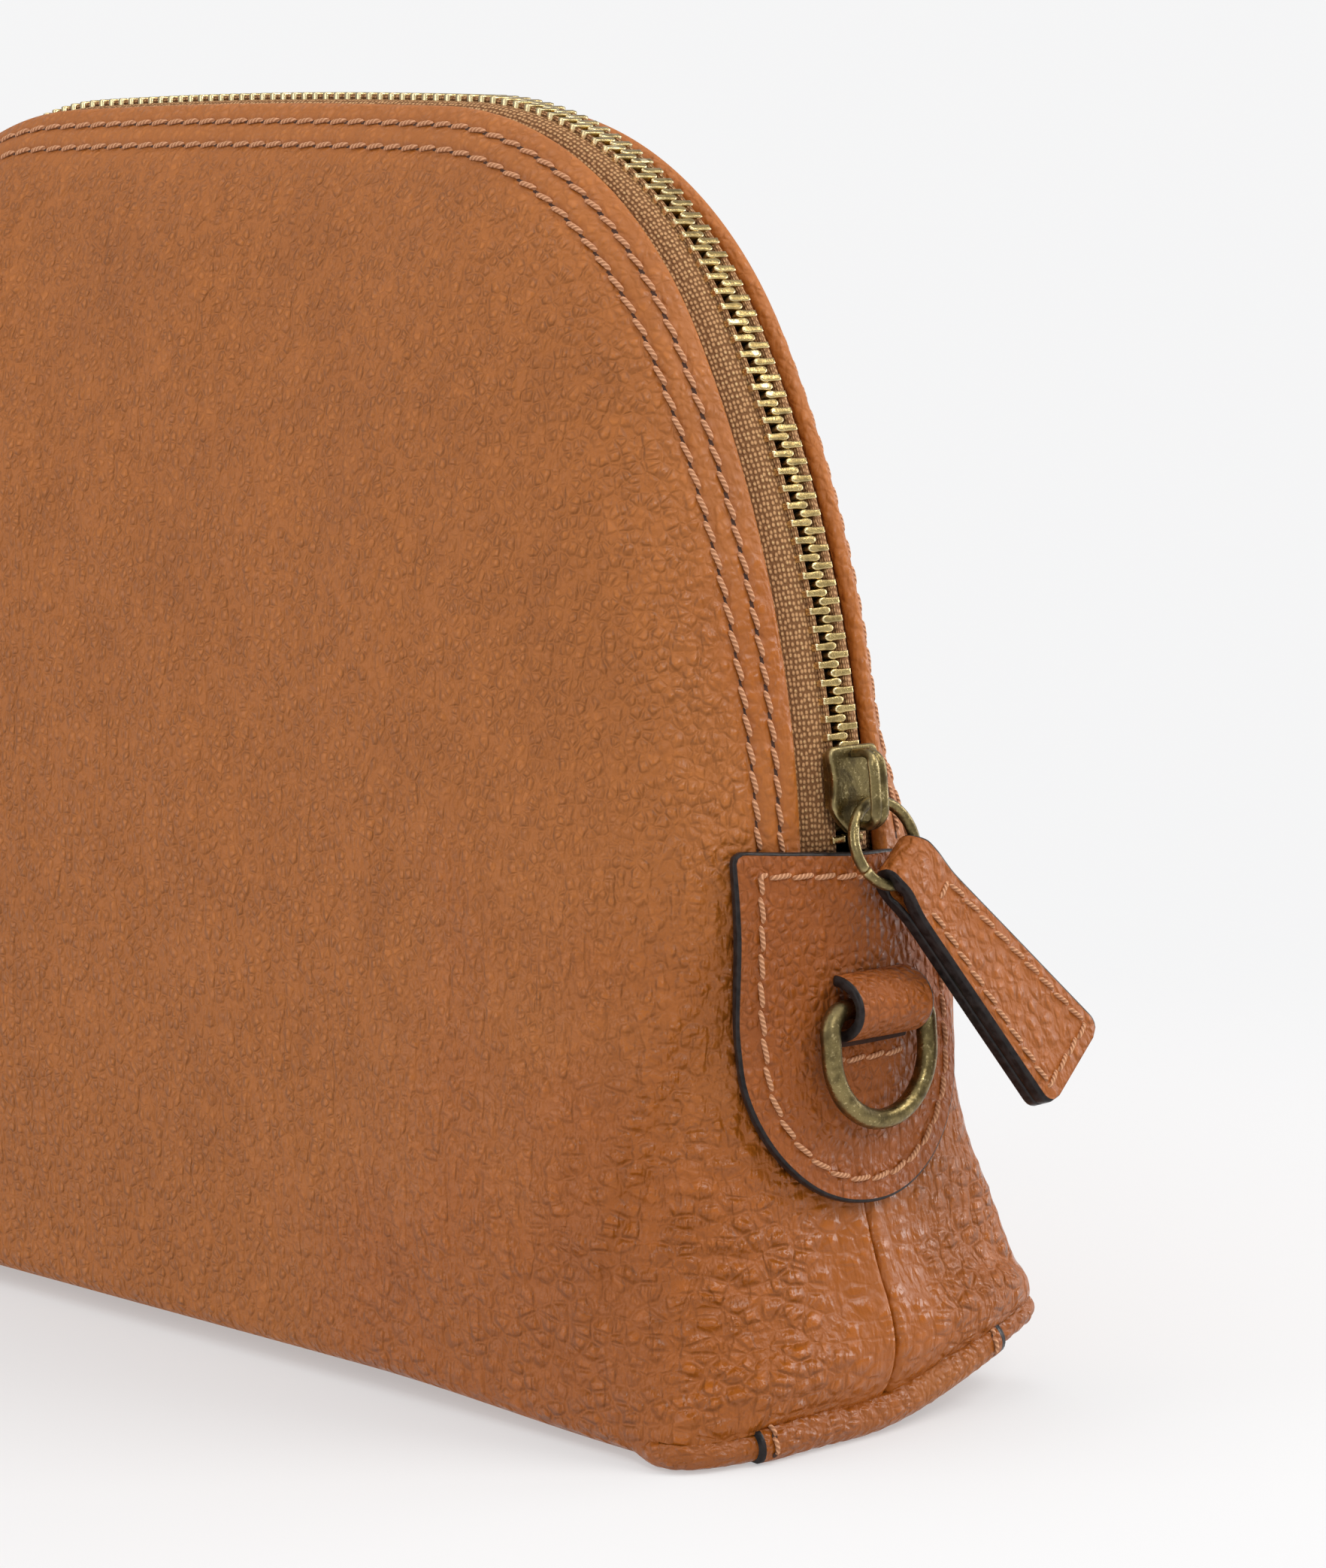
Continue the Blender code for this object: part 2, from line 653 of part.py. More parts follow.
def d_path():
    corner = 3.0
    straight = D_DROP - D_HALF
    pts = [(y, 0.0) for y in np.linspace(-(D_HALF - corner), D_HALF - corner, 6)]
    for a in (22.5, 45.0, 67.5, 90.0):
        r = math.radians(a)
        pts.append((D_HALF - corner + corner * math.sin(r), corner * (1 - math.cos(r))))
    for a in np.linspace(0, 180, 19):
        r = math.radians(a)
        pts.append((D_HALF * math.cos(r), straight + D_HALF * math.sin(r)))
    for a in (90.0, 67.5, 45.0, 22.5):
        r = math.radians(a)
        pts.append((-(D_HALF - corner + corner * math.sin(r)), corner * (1 - math.cos(r))))
    return pts


def end_fittings():
    face, z = d_hinge()
    for sign, word in ((1, "right"), (-1, "left")):
        outer, inner = tab_grids(sign)
        place("side_tab_" + word, tidy(slab(outer, inner), "side_tab_" + word), TAB_MAT)
        root = face + 0.3
        loop = []
        for a in np.linspace(-90, 90, 15):
            r = math.radians(a)
            loop.append((root + 5.6 * math.cos(r), z + 4.7 * math.sin(r)))
        for a in np.linspace(90, -90, 15):
            r = math.radians(a)
            loop.append((root + (5.6 - LOOP_THICK) * math.cos(r), z + (4.7 - LOOP_THICK) * math.sin(r)))
        half = LOOP_WIDTH / 2
        size = len(loop)
        vertices = [(sign * x, -half, h) for x, h in loop] + [(sign * x, half, h) for x, h in loop]
        faces = []
        for j in range(size):
            k = (j + 1) % size
            faces.append((j, k, size + k, size + j))
        for j in range(14):
            a, b = j, size - 1 - j
            faces.append((a, a + 1, b - 1, b))
            faces.append((size + a, size + b, size + b - 1, size + a + 1))
        place("ring_loop_" + word, tidy((vertices, faces), "ring_loop_" + word), TAB_MAT)
        bar = np.array([face + GAP + D_WIRE, 0.0, z])
        down = np.array([math.sin(D_LEAN), 0.0, -math.cos(D_LEAN)])
        facing = np.array([math.cos(D_LEAN), 0.0, math.sin(D_LEAN)])
        path = [bar + y * np.array([0, 1.0, 0]) + d * down for y, d in d_path()]
        planes = []
        for i in range(len(path)):
            ahead = path[(i + 1) % len(path)] - path[i - 1]
            ahead /= np.linalg.norm(ahead)
            planes.append((np.cross(ahead, facing), facing))
        vertices, faces = tube_loop(path, D_WIRE, 10, planes)
        vertices = [(sign * p[0] - 0.0, p[1], p[2]) for p in vertices]
        ring = place("d_ring_" + word, tidy((vertices, faces), "d_ring_" + word), ANTIQUE_MAT)
        move_origin(ring, (sign * bar[0], 0.0, z))


def move_origin(ob, at):
    """Puts an object's origin on its joint without moving its shape."""
    shift = Vector(at) * MM
    for v in ob.data.vertices:
        v.co -= shift
    ob.location = shift


# ---------------------------------------------------------------- base
def base_panel():
    """Strip under the base whose ends turn up into the corner seams."""
    half = 0.345 * DEPTH
    x_end = 121.8 * SCALE_X
    line = [(-x_end + 0.0, 4.0)]
    centre = [(x_end + 0.4, 3.1), (x_end + 0.3, 2.2), (x_end - 0.4, 1.2), (x_end - 1.8, 0.8)]
    right = centre[::-1]
    along = [(x, 0.8) for x in np.linspace(-(x_end - 8), x_end - 8, 9)]
    line = [(-x, z) for x, z in centre] + along + right
    line = np.array(line)
    tangent = np.gradient(line, axis=0)
    tangent /= np.linalg.norm(tangent, axis=1, keepdims=True)
    normal = np.stack([tangent[:, 1], -tangent[:, 0]], axis=1)
    ys = np.linspace(-half, half, 13)
    outer = np.array([[(p[0] + 0.8 * n[0], y, p[1] + 0.8 * n[1]) for y in ys]
                      for p, n in zip(line, normal)])
    inner = np.array([[(p[0] - 0.8 * n[0], y, p[1] - 0.8 * n[1]) for y in ys]
                      for p, n in zip(line, normal)])
    for g in (outer, inner):
        flat = g.reshape(-1, 3)
        for i, p in enumerate(flat):
            flat[i] = lifted(p, 1)
    return outer, inner


soft_panels()
tapes()
for is_back, side_word in ((False, "front"), (True, "back")):
    place("teeth_row_" + side_word, tidy(tooth_row(is_back), "teeth_" + side_word), TEETH_MAT, False)
slider()
stops()
pull()
end_fittings()
place("base_panel", tidy(slab(*base_panel()), "base_panel"), LEATHER_MAT)

move_origin(bpy.data.objects["slider_body"], tuple(line_at(SLIDER_RUN)[0][[0]]) + (0.0,) + tuple(line_at(SLIDER_RUN)[0][[1]]))
move_origin(bpy.data.objects["pull_ring"], tuple(crown_hole()))
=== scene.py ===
"""Looks of the leather zip pouch: fine leather, thread, zip, hardware, soft light and camera.

Lengths in the shape code are millimetres; meshes are written in metres.
"""
import math

import bmesh
import bpy
import numpy as np
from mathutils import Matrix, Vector
from mathutils.bvhtree import BVHTree
from mathutils.geometry import delaunay_2d_cdt


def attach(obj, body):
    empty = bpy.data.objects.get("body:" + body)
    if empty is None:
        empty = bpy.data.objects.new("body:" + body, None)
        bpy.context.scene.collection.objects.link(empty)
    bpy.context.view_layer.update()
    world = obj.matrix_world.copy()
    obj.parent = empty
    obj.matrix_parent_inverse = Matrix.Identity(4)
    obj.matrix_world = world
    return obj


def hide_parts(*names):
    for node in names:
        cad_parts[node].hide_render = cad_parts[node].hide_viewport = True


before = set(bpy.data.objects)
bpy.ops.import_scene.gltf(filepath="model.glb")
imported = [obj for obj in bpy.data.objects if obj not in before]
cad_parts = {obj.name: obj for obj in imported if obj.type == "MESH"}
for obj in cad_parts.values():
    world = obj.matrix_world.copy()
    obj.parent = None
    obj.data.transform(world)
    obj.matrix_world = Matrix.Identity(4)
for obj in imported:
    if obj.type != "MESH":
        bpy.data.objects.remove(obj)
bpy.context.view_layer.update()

MM = 0.001

# ---------------------------------------------------------------- sizes shared with the CAD part
HALF_DEPTH = 36.2
LEATHER = 1.3
TURNED_EDGE = 2.6
LINING = 0.6
TAPE = 0.5
GAP = 0.35
ZIP_GAP = 8.0
CORNER_LIFT = 8.0
FRONT_DROOP = 1.9
CURVE_STEPS = 200
PITCH = 2.5
CHAIN_THICK = 2.4
SLIDER_LENGTH = 12.0
SLIDER_HALF = 4.75
CROWN_WIDTH = 3.2
CROWN_HEIGHT = 4.7
RING_R = 5.95
RING_WIRE = 0.8
RING_LEAN = math.radians(18.5)
PULL_ANGLE = math.radians(54.0)
PULL_LENGTH = 37.5
PULL_END = 17.0
PULL_NECK = 9.2
TAB_TOP = 82.3
TAB_HALF = 20.5
TAB_BOTTOM = 32.0
TAB_THICK = 1.8
TAB_GAP = 0.5
D_HALF = 9.55
D_DROP = 15.85
D_WIRE = 1.45
D_HEIGHT = 60.0
D_LEAN = math.radians(5.0)
LOOP_WIDTH = 14.5
LOOP_THICK = 1.6
OVERLAY_LOW = 0.02
FLOOR_LOW = 0.22
ZIP_LEFT_HEIGHT = 88.0

ARCS = ((1436.0, 0.031), (63.3, 1.0542), (159.1, 1.5335))
SEAM = (
    (118.6, 70.0), (119.2, 58.0), (120.0, 44.0), (121.6, 33.0), (124.3, 24.0),
    (127.0, 17.5), (128.0, 12.5), (127.2, 8.0), (125.2, 4.6),
)
SHAPE = (
    (185.3, 0.0, 30.0, 70.0, 0.0), (184.6, 36.0, 30.0, 70.0, 0.0),
    (177.0, 57.0, 28.0, 64.0, 0.05), (152.6, 74.0, 26.0, 55.0, 0.12),
    (121.0, 88.0, 24.0, 45.0, 0.15), (80.0, 99.0, 22.0, 32.0, 0.2),
    (58.0, 105.5, 23.0, 24.0, 0.25), (44.0, 109.5, 23.0, 19.0, 0.35),
    (33.0, 112.5, 23.0, 15.0, 0.45), (24.0, 114.5, 23.0, 11.0, 0.6),
    (17.5, 116.0, 23.0, 9.0, 0.8), (12.5, 116.8, 23.0, 7.5, 1.1),
    (8.0, 117.2, 23.0, 7.0, 1.35), (4.6, 117.5, 23.0, 7.0, 1.5708),
)


def smooth(t):
    """Eased step from 0 to 1."""
    t = np.clip(t, 0.0, 1.0)
    return t * t * (3 - 2 * t)


def bump(x, centre, width):
    """Soft ridge of height 1."""
    return np.exp(-(((x - centre) / width) ** 2))


# ---------------------------------------------------------------- camera, light, floor
scene = bpy.context.scene
scene.view_settings.view_transform = "Standard"
scene.view_settings.look = "None"

camera_data = bpy.data.cameras.new("camera")
camera_data.lens = 110.2
camera_data.sensor_width = 36.0
camera_data.clip_start = 0.01
camera = bpy.data.objects.new("camera", camera_data)
camera.location = (0.5698, -0.4749, 0.1756)
camera.rotation_euler = (math.radians(90 - 7.44), 0.0, math.radians(45.82))
scene.collection.objects.link(camera)
scene.camera = camera


def area(name, where, target, size, power, colour=(1.0, 1.0, 1.0)):
    """Soft rectangular light aimed at a point."""
    data = bpy.data.lights.new(name, "AREA")
    data.shape = "RECTANGLE"
    data.size, data.size_y = size
    data.energy = power
    data.color = colour
    ob = bpy.data.objects.new(name, data)
    ob.location = where
    aim = Vector(target) - Vector(where)
    ob.rotation_euler = aim.to_track_quat("-Z", "Y").to_euler()
    scene.collection.objects.link(ob)


CENTRE = (0.02, 0.0, 0.08)
area("key", (0.62, 0.42, 0.85), CENTRE, (0.55, 0.55), 5.2, (1.0, 0.985, 0.96))
area("top", (-0.10, -0.10, 1.10), CENTRE, (1.1, 1.1), 3.6)
area("fill", (-0.55, -1.00, 0.45), CENTRE, (0.9, 0.9), 4.2, (1.0, 0.995, 0.985))
area("side", (0.95, -0.50, 0.72), CENTRE, (0.28, 0.28), 2.4)
area("rim", (0.40, 1.05, 0.30), CENTRE, (0.5, 0.5), 3.4)


# ---------------------------------------------------------------- node helpers
def fresh(name):
    m = bpy.data.materials.new(name)
    m.use_nodes = True
    return m, m.node_tree, m.node_tree.nodes["Principled BSDF"]


def node(tree, kind, inputs=None, **settings):
    """New node; an input is either a value or the socket that feeds it."""
    n = tree.nodes.new(kind)
    for key, value in settings.items():
        setattr(n, key, value)
    for key, value in (inputs or {}).items():
        if isinstance(value, bpy.types.NodeSocket):
            tree.links.new(value, n.inputs[key])
        else:
            n.inputs[key].default_value = value
    return n


def calc(tree, op, a, b=0.0, c=0.0):
    return node(tree, "ShaderNodeMath", {0: a, 1: b, 2: c}, operation=op).outputs[0]


def span(tree, value, low, high, to_low=0.0, to_high=1.0):
    """Eased change from one range to another."""
    n = node(tree, "ShaderNodeMapRange", {0: value, 1: low, 2: high, 3: to_low, 4: to_high})
    n.interpolation_type = "SMOOTHSTEP"
    return n.outputs[0]


def blend_value(tree, factor, a, b):
    n = node(tree, "ShaderNodeMix", {0: factor, 2: a, 3: b}, data_type="FLOAT")
    return n.outputs[0]


def blend_colour(tree, factor, a, b):
    a = (*a, 1.0) if isinstance(a, tuple) else a
    b = (*b, 1.0) if isinstance(b, tuple) else b
    n = node(tree, "ShaderNodeMix", {0: factor, 6: a, 7: b}, data_type="RGBA")
    return n.outputs[2]


def place_of(tree, scale=(1.0, 1.0, 1.0), turn=(0.0, 0.0, 0.0)):
    """Place on the piece in metres, scaled and turned."""
    spot = node(tree, "ShaderNodeTexCoord").outputs["Object"]
    return node(tree, "ShaderNodeMapping", {0: spot, 2: turn, 3: scale}).outputs[0]


def fuzz(tree, spot, scale, detail=2.0, rough=0.5):
    return node(tree, "ShaderNodeTexNoise", {"Vector": spot, "Scale": scale, "Detail": detail,
                                             "Roughness": rough}).outputs["Fac"]


def warped(tree, spot, scale, amount):
    """A place pushed about by noise."""
    drift = node(tree, "ShaderNodeTexNoise", {"Vector": spot, "Scale": scale, "Detail": 2.0})
    push = node(tree, "ShaderNodeVectorMath", {0: drift.outputs["Color"], 1: (0.5, 0.5, 0.5)},
                operation="SUBTRACT").outputs[0]
    push = node(tree, "ShaderNodeVectorMath", {0: push, 3: amount}, operation="SCALE").outputs[0]
    return node(tree, "ShaderNodeVectorMath", {0: spot, 1: push}, operation="ADD").outputs[0]


def cells(tree, spot, scale, valley):
    """Raised pebbles: 0 in the creases between cells, 1 on their tops."""
    edge = node(tree, "ShaderNodeTexVoronoi", {"Vector": spot, "Scale": scale},
                feature="DISTANCE_TO_EDGE").outputs["Distance"]
    return span(tree, edge, 0.0, valley)


def to_bump(tree, shader, height, distance):
    n = node(tree, "ShaderNodeBump", {"Height": height, "Distance": distance, "Strength": 1.0})
    tree.links.new(n.outputs[0], shader.inputs["Normal"])


def studio():
    """Pale surroundings: bright to look at, dimmer as a light."""
    world = bpy.data.worlds.new("studio")
    world.use_nodes = True
    tree = world.node_tree
    back = tree.nodes["Background"]
    back.inputs[0].default_value = (0.97, 0.97, 0.975, 1.0)
    seen = node(tree, "ShaderNodeLightPath").outputs["Is Camera Ray"]
    tree.links.new(span(tree, seen, 0.0, 1.0, 0.52, 0.945), back.inputs[1])
    scene.world = world


def attribute(tree, name):
    return node(tree, "ShaderNodeAttribute", attribute_name=name).outputs["Fac"]


# ---------------------------------------------------------------- materials
def leather(name, dark, mid, light, fine, coarse, banded=False, relief=0.00030, rough=(0.36, 0.60)):
    m, tree, shader = fresh(name)
    spot = place_of(tree)
    axes = node(tree, "ShaderNodeSeparateXYZ", {0: spot})
    drift = fuzz(tree, spot, 24.0, 2.0)
    if banded:
        # Grain opens up towards the lower right end, as on a belly cut of hide
        lean = calc(tree, "MULTIPLY_ADD", calc(tree, "ABSOLUTE", axes.outputs[0]), 9.0, -0.22)
        lean = calc(tree, "SUBTRACT", lean, calc(tree, "MULTIPLY", axes.outputs[2], 5.0))
        lean = calc(tree, "ADD", lean, calc(tree, "MULTIPLY_ADD", drift, 1.0, -0.5))
        mix = span(tree, lean, -0.1, 0.75)
    else:
        mix = span(tree, calc(tree, "MULTIPLY_ADD", axes.outputs[2], -14.0, 0.95), 0.0, 1.0)
        mix = calc(tree, "MULTIPLY", mix, span(tree, drift, 0.35, 0.6))

    def pebbles(where, scale, wobble, push):
        loose = warped(tree, where, wobble, push)
        near = node(tree, "ShaderNodeTexVoronoi", {"Vector": loose, "Scale": scale, "Smoothness": 0.55},
                    feature="SMOOTH_F1").outputs["Distance"]
        dome = span(tree, near, 0.05, 0.70, 1.0, 0.0)
        line = cells(tree, loose, scale, 0.24)
        return calc(tree, "MULTIPLY_ADD", dome, 0.72, calc(tree, "MULTIPLY", line, 0.28)), line

    small, small_line = pebbles(spot, fine, 330.0, 0.0006)
    wide = place_of(tree, (0.80, 0.80, 1.30))
    broad, broad_line = pebbles(wide, coarse, 150.0, 0.0016)
    broad = calc(tree, "ADD", calc(tree, "MULTIPLY", broad, 1.5), calc(tree, "MULTIPLY", small, 0.22))
    grain = blend_value(tree, mix, calc(tree, "MULTIPLY", small, 1.05), broad)
    line = blend_value(tree, mix, small_line, broad_line)
    slant = place_of(tree, (1.0, 1.0, 0.40), (0.0, math.radians(52.0), 0.0))
    crease = fuzz(tree, slant, 300.0, 3.0, 0.5)
    crease = calc(tree, "ABSOLUTE", calc(tree, "MULTIPLY_ADD", crease, 2.0, -1.0))
    crease = span(tree, crease, 0.0, 0.26)
    pores = fuzz(tree, spot, 2400.0, 2.0)
    height = calc(tree, "ADD", grain, calc(tree, "MULTIPLY", crease, 0.50))
    height = calc(tree, "ADD", height, calc(tree, "MULTIPLY", pores, 0.14))
    if banded:
        edge = attribute(tree, "edge")
        height = calc(tree, "MULTIPLY", height, span(tree, edge, 6.5, 15.0, 0.34, 1.0))
    to_bump(tree, shader, height, relief)
    warm = span(tree, calc(tree, "ADD", mix, calc(tree, "MULTIPLY_ADD", drift, 0.7, -0.35)), 0.1, 1.0)
    tone = blend_colour(tree, warm, light, mid)
    patch = fuzz(tree, spot, 60.0, 3.0)
    tone = blend_colour(tree, calc(tree, "MULTIPLY", span(tree, patch, 0.45, 0.8), 0.16), tone, dark)
    # Painted shade: the tone darkens in the valleys between pebbles and along the creases
    painted_crease_shade = calc(tree, "SUBTRACT", 1.0, calc(tree, "MULTIPLY", line, crease))
    tone = blend_colour(tree, calc(tree, "MULTIPLY", painted_crease_shade, 0.22), tone, dark)
    if banded:
        # Painted highlight: the tone lightens along the turned edge's rounded fold
        painted_fold_highlight = span(tree, attribute(tree, "edge"), -1.0, 2.0, 0.3, 0.0)
        tone = blend_colour(tree, painted_fold_highlight, tone, tuple(c * 1.20 + 0.006 for c in light))
        # Painted shade: the tone darkens in the grooves of the sewn rows
        painted_groove_shade = attribute(tree, "painted_groove_shade")
        tone = blend_colour(tree, calc(tree, "MULTIPLY", painted_groove_shade, 0.6), tone, dark)
    tree.links.new(tone, shader.inputs["Base Color"])
    gloss = span(tree, grain, 0.0, 1.1, rough[1], rough[0])
    gloss = calc(tree, "SUBTRACT", gloss, calc(tree, "MULTIPLY", mix, 0.12))
    gloss = calc(tree, "ADD", gloss, calc(tree, "MULTIPLY_ADD", patch, 0.12, -0.06))
    tree.links.new(gloss, shader.inputs["Roughness"])
    shader.inputs["Specular IOR Level"].default_value = 0.36
    return m


PANEL = leather("panel_leather", (0.120, 0.030, 0.005), (0.390, 0.106, 0.010), (0.450, 0.142, 0.023),
                640.0, 360.0, banded=True, relief=0.00066)
ROLL = leather("roll_leather", (0.100, 0.026, 0.005), (0.345, 0.094, 0.010), (0.400, 0.124, 0.020),
               820.0, 620.0, relief=0.00028)
TAB = leather("tab_leather", (0.09, 0.019, 0.003), (0.305, 0.072, 0.005), (0.345, 0.089, 0.009),
              700.0, 360.0, relief=0.00044)
PULL = leather("pull_leather", (0.11, 0.026, 0.004), (0.345, 0.088, 0.008), (0.395, 0.112, 0.015),
               520.0, 320.0, relief=0.00042)


def paint():
    m, tree, shader = fresh("edge_paint")
    spot = place_of(tree)
    drift = fuzz(tree, spot, 900.0, 3.0)
    tone = blend_colour(tree, span(tree, drift, 0.3, 0.7), (0.010, 0.008, 0.008), (0.026, 0.020, 0.019))
    tree.links.new(tone, shader.inputs["Base Color"])
    tree.links.new(span(tree, drift, 0.3, 0.75, 0.28, 0.5), shader.inputs["Roughness"])
    shader.inputs["Specular IOR Level"].default_value = 0.22
    to_bump(tree, shader, drift, 0.00010)
    return m


def thread():
    m, tree, shader = fresh("waxed_thread")
    uv = node(tree, "ShaderNodeUVMap").outputs[0]
    turned = node(tree, "ShaderNodeMapping", {0: uv, 2: (0.0, 0.0, math.radians(32.0))}).outputs[0]
    ply = node(tree, "ShaderNodeTexWave", {"Vector": turned, "Scale": 0.55, "Distortion": 0.4},
               wave_type="BANDS", bands_direction="X", wave_profile="SIN").outputs["Fac"]
    hair = fuzz(tree, place_of(tree), 3200.0, 2.0)
    # Painted shade: the tone darkens between the twisted plies
    tone = blend_colour(tree, ply, (0.36, 0.140, 0.058), (0.74, 0.375, 0.200))
    tone = blend_colour(tree, calc(tree, "MULTIPLY", hair, 0.2), tone, (0.80, 0.46, 0.28))
    tree.links.new(tone, shader.inputs["Base Color"])
    tree.links.new(span(tree, ply, 0.0, 1.0, 0.8, 0.6), shader.inputs["Roughness"])
    shader.inputs["Specular IOR Level"].default_value = 0.2
    to_bump(tree, shader, calc(tree, "ADD", ply, calc(tree, "MULTIPLY", hair, 0.3)), 0.00016)
    return m


def needle_hole_shade():
    # Painted shade: near-black colour for the shade inside needle holes and slits
    m, tree, shader = fresh("needle_hole_shade")
    drift = fuzz(tree, place_of(tree), 1500.0, 2.0)
    tone = blend_colour(tree, drift, (0.022, 0.008, 0.004), (0.075, 0.026, 0.012))
    tree.links.new(tone, shader.inputs["Base Color"])
    shader.inputs["Roughness"].default_value = 0.9
    return m


def woven(name, dark, light, step, glint=0.0):
    """Knitted tape or cloth: small beads in rows, a step apart in millimetres."""
    m, tree, shader = fresh(name)
    uv = node(tree, "ShaderNodeUVMap").outputs[0]
    wide = node(tree, "ShaderNodeMapping", {0: uv, 3: (1.0, 1.35, 1.0)}).outputs[0]
    bead = node(tree, "ShaderNodeTexVoronoi", {"Vector": wide, "Scale": 1.0 / step, "Randomness": 0.38},
                voronoi_dimensions="2D").outputs["Distance"]
    knit = span(tree, bead, 0.12, 0.62, 1.0, 0.0)
    hair = fuzz(tree, place_of(tree), 2400.0, 3.0)
    height = calc(tree, "ADD", knit, calc(tree, "MULTIPLY", hair, 0.5))
    to_bump(tree, shader, height, 0.00022)
    # Painted shade: the tone darkens in the gaps between the knit's beads
    tone = blend_colour(tree, span(tree, knit, 0.1, 0.95), dark, light)
    # Painted highlight: small bright glints on the tops of the beads
    speck = span(tree, calc(tree, "MULTIPLY", knit, span(tree, hair, 0.45, 0.7)), 0.55, 0.9)
    if glint:
        bright = tuple(min(1.0, c * 2.6 + 0.05) for c in light)
        tone = blend_colour(tree, calc(tree, "MULTIPLY", speck, glint), tone, bright)
    tree.links.new(tone, shader.inputs["Base Color"])
    tree.links.new(span(tree, knit, 0.0, 1.0, 0.9, 0.55), shader.inputs["Roughness"])
    shader.inputs["Specular IOR Level"].default_value = 0.2
    return m


def metal(name, dark, mid, worn, rough, wear, tarnish):
    """Aged metal: cloudy tarnish, fine scratches and rubbed edges."""
    m, tree, shader = fresh(name)
    spot = place_of(tree)
    cloud = fuzz(tree, spot, 420.0, 4.0, 0.6)
    speck = fuzz(tree, spot, 1900.0, 3.0, 0.6)
    scratch = fuzz(tree, place_of(tree, (1.0, 0.25, 1.0), (0.3, 0.2, 0.5)), 2600.0, 2.0)
    tone = blend_colour(tree, span(tree, cloud, 0.32, 0.62), dark, mid)
    rubbed = calc(tree, "MULTIPLY", span(tree, speck, wear, wear + 0.14), span(tree, cloud, 0.35, 0.6))
    edge = node(tree, "ShaderNodeNewGeometry").outputs["Pointiness"]
    rubbed = calc(tree, "MAXIMUM", rubbed, span(tree, edge, 0.515, 0.60))
    tone = blend_colour(tree, rubbed, tone, worn)
    tree.links.new(tone, shader.inputs["Base Color"])
    shader.inputs["Metallic"].default_value = 1.0
    gloss = calc(tree, "ADD", span(tree, cloud, 0.3, 0.7, rough + tarnish, rough - 0.05),
                 calc(tree, "MULTIPLY_ADD", scratch, 0.14, -0.07))
    tree.links.new(gloss, shader.inputs["Roughness"])
    to_bump(tree, shader, calc(tree, "ADD", speck, calc(tree, "MULTIPLY", scratch, 0.5)), 0.00005)
    return m


studio()
PAINT = paint()
THREAD = thread()
HOLE_SHADE = needle_hole_shade()
WEAVE = woven("tape_weave", (0.215, 0.096, 0.037), (0.60, 0.325, 0.145), 0.80, glint=0.30)
CLOTH = woven("lining_weave", (0.20, 0.11, 0.055), (0.36, 0.22, 0.12), 0.5)
ANTIQUE = metal("antique_brass", (0.085, 0.062, 0.025), (0.23, 0.175, 0.072), (0.55, 0.44, 0.22),
                0.30, 0.56, 0.16)
BRASS = metal("zip_brass", (0.22, 0.150, 0.050), (0.57, 0.415, 0.165), (0.90, 0.75, 0.44),
              0.22, 0.60, 0.12)


# ---------------------------------------------------------------- mesh helpers
def piece(name, data, mats, body, nodes=(), uv=None, marks=None, index=None):
    """Makes a piece from millimetre data, parents it to its body's empty, gives it its materials and hides the
    CAD parts named in nodes.
    """
    vertices, faces = data
    vertices = np.array(vertices, dtype=float)
    if body == "pouch":
        # What rests on the floor is pressed flat there, the overlay lowest
        vertices[:, 2] = np.maximum(vertices[:, 2], OVERLAY_LOW if "overlay" in name else FLOOR_LOW)
    me = bpy.data.meshes.new(name)
    me.from_pydata((vertices * MM).tolist(), [], [tuple(f) for f in faces])
    for m in mats:
        me.materials.append(m)
    if index is not None:
        me.polygons.foreach_set("material_index", np.asarray(index, dtype=np.int32))
    me.polygons.foreach_set("use_smooth", np.full(len(me.polygons), True))
    if uv is not None:
        layer = me.uv_layers.new(name="UVMap")
        corner = np.empty(len(me.loops), dtype=np.int32)
        me.loops.foreach_get("vertex_index", corner)
        layer.data.foreach_set("uv", np.asarray(uv, dtype=np.float32)[corner].ravel())
    for key, values in (marks or {}).items():
        field = me.attributes.new(key, "FLOAT", "POINT")
        field.data.foreach_set("value", np.asarray(values, dtype=np.float32).ravel())
    bm = bmesh.new()
    bm.from_mesh(me)
    bmesh.ops.recalc_face_normals(bm, faces=bm.faces[:])
    bm.to_mesh(me)
    bm.free()
    ob = bpy.data.objects.new(name, me)
    scene.collection.objects.link(ob)
    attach(ob, body)
    if nodes:
        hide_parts(*nodes)
    return ob


def joined(parts):
    """One vertex and face list out of several."""
    vertices, faces, shift = [], [], 0
    for v, f in parts:
        vertices.append(np.asarray(v, dtype=float))
        faces.extend(tuple(i + shift for i in face) for face in f)
        shift += len(v)
    return np.concatenate(vertices), faces


def grid_faces(rows, cols, start=0):
    """Quads over a grid of points, row by row."""
    faces = []
    for i in range(rows - 1):
        for j in range(cols - 1):
            a = start + i * cols + j
            faces.append((a, a + cols, a + cols + 1, a + 1))
    return faces


def distances(points):
    """Running length along a line of points."""
    return np.concatenate([[0.0], np.cumsum(np.linalg.norm(np.diff(points, axis=0), axis=1))])


def unit(v):
    return v / np.maximum(np.linalg.norm(v, axis=-1, keepdims=True), 1e-9)


def inset(outline, amount):
    """Moves a closed anticlockwise outline inwards."""
    ahead = np.roll(outline, -1, axis=0) - np.roll(outline, 1, axis=0)
    ahead = unit(ahead)
    inward = np.stack([-ahead[:, 1], ahead[:, 0]], axis=1)
    return outline + inward * amount


def resample(points, step, closed=False):
    """Points at an even step along a line."""
    points = np.asarray(points, dtype=float)
    if closed:
        points = np.concatenate([points, points[:1]])
    run = distances(points)
    count = max(2, int(round(run[-1] / step)))
    at = np.linspace(0, run[-1], count + 1)
    if closed:
        at = at[:-1]
    return np.stack([np.interp(at, run, points[:, k]) for k in range(points.shape[1])], axis=1)


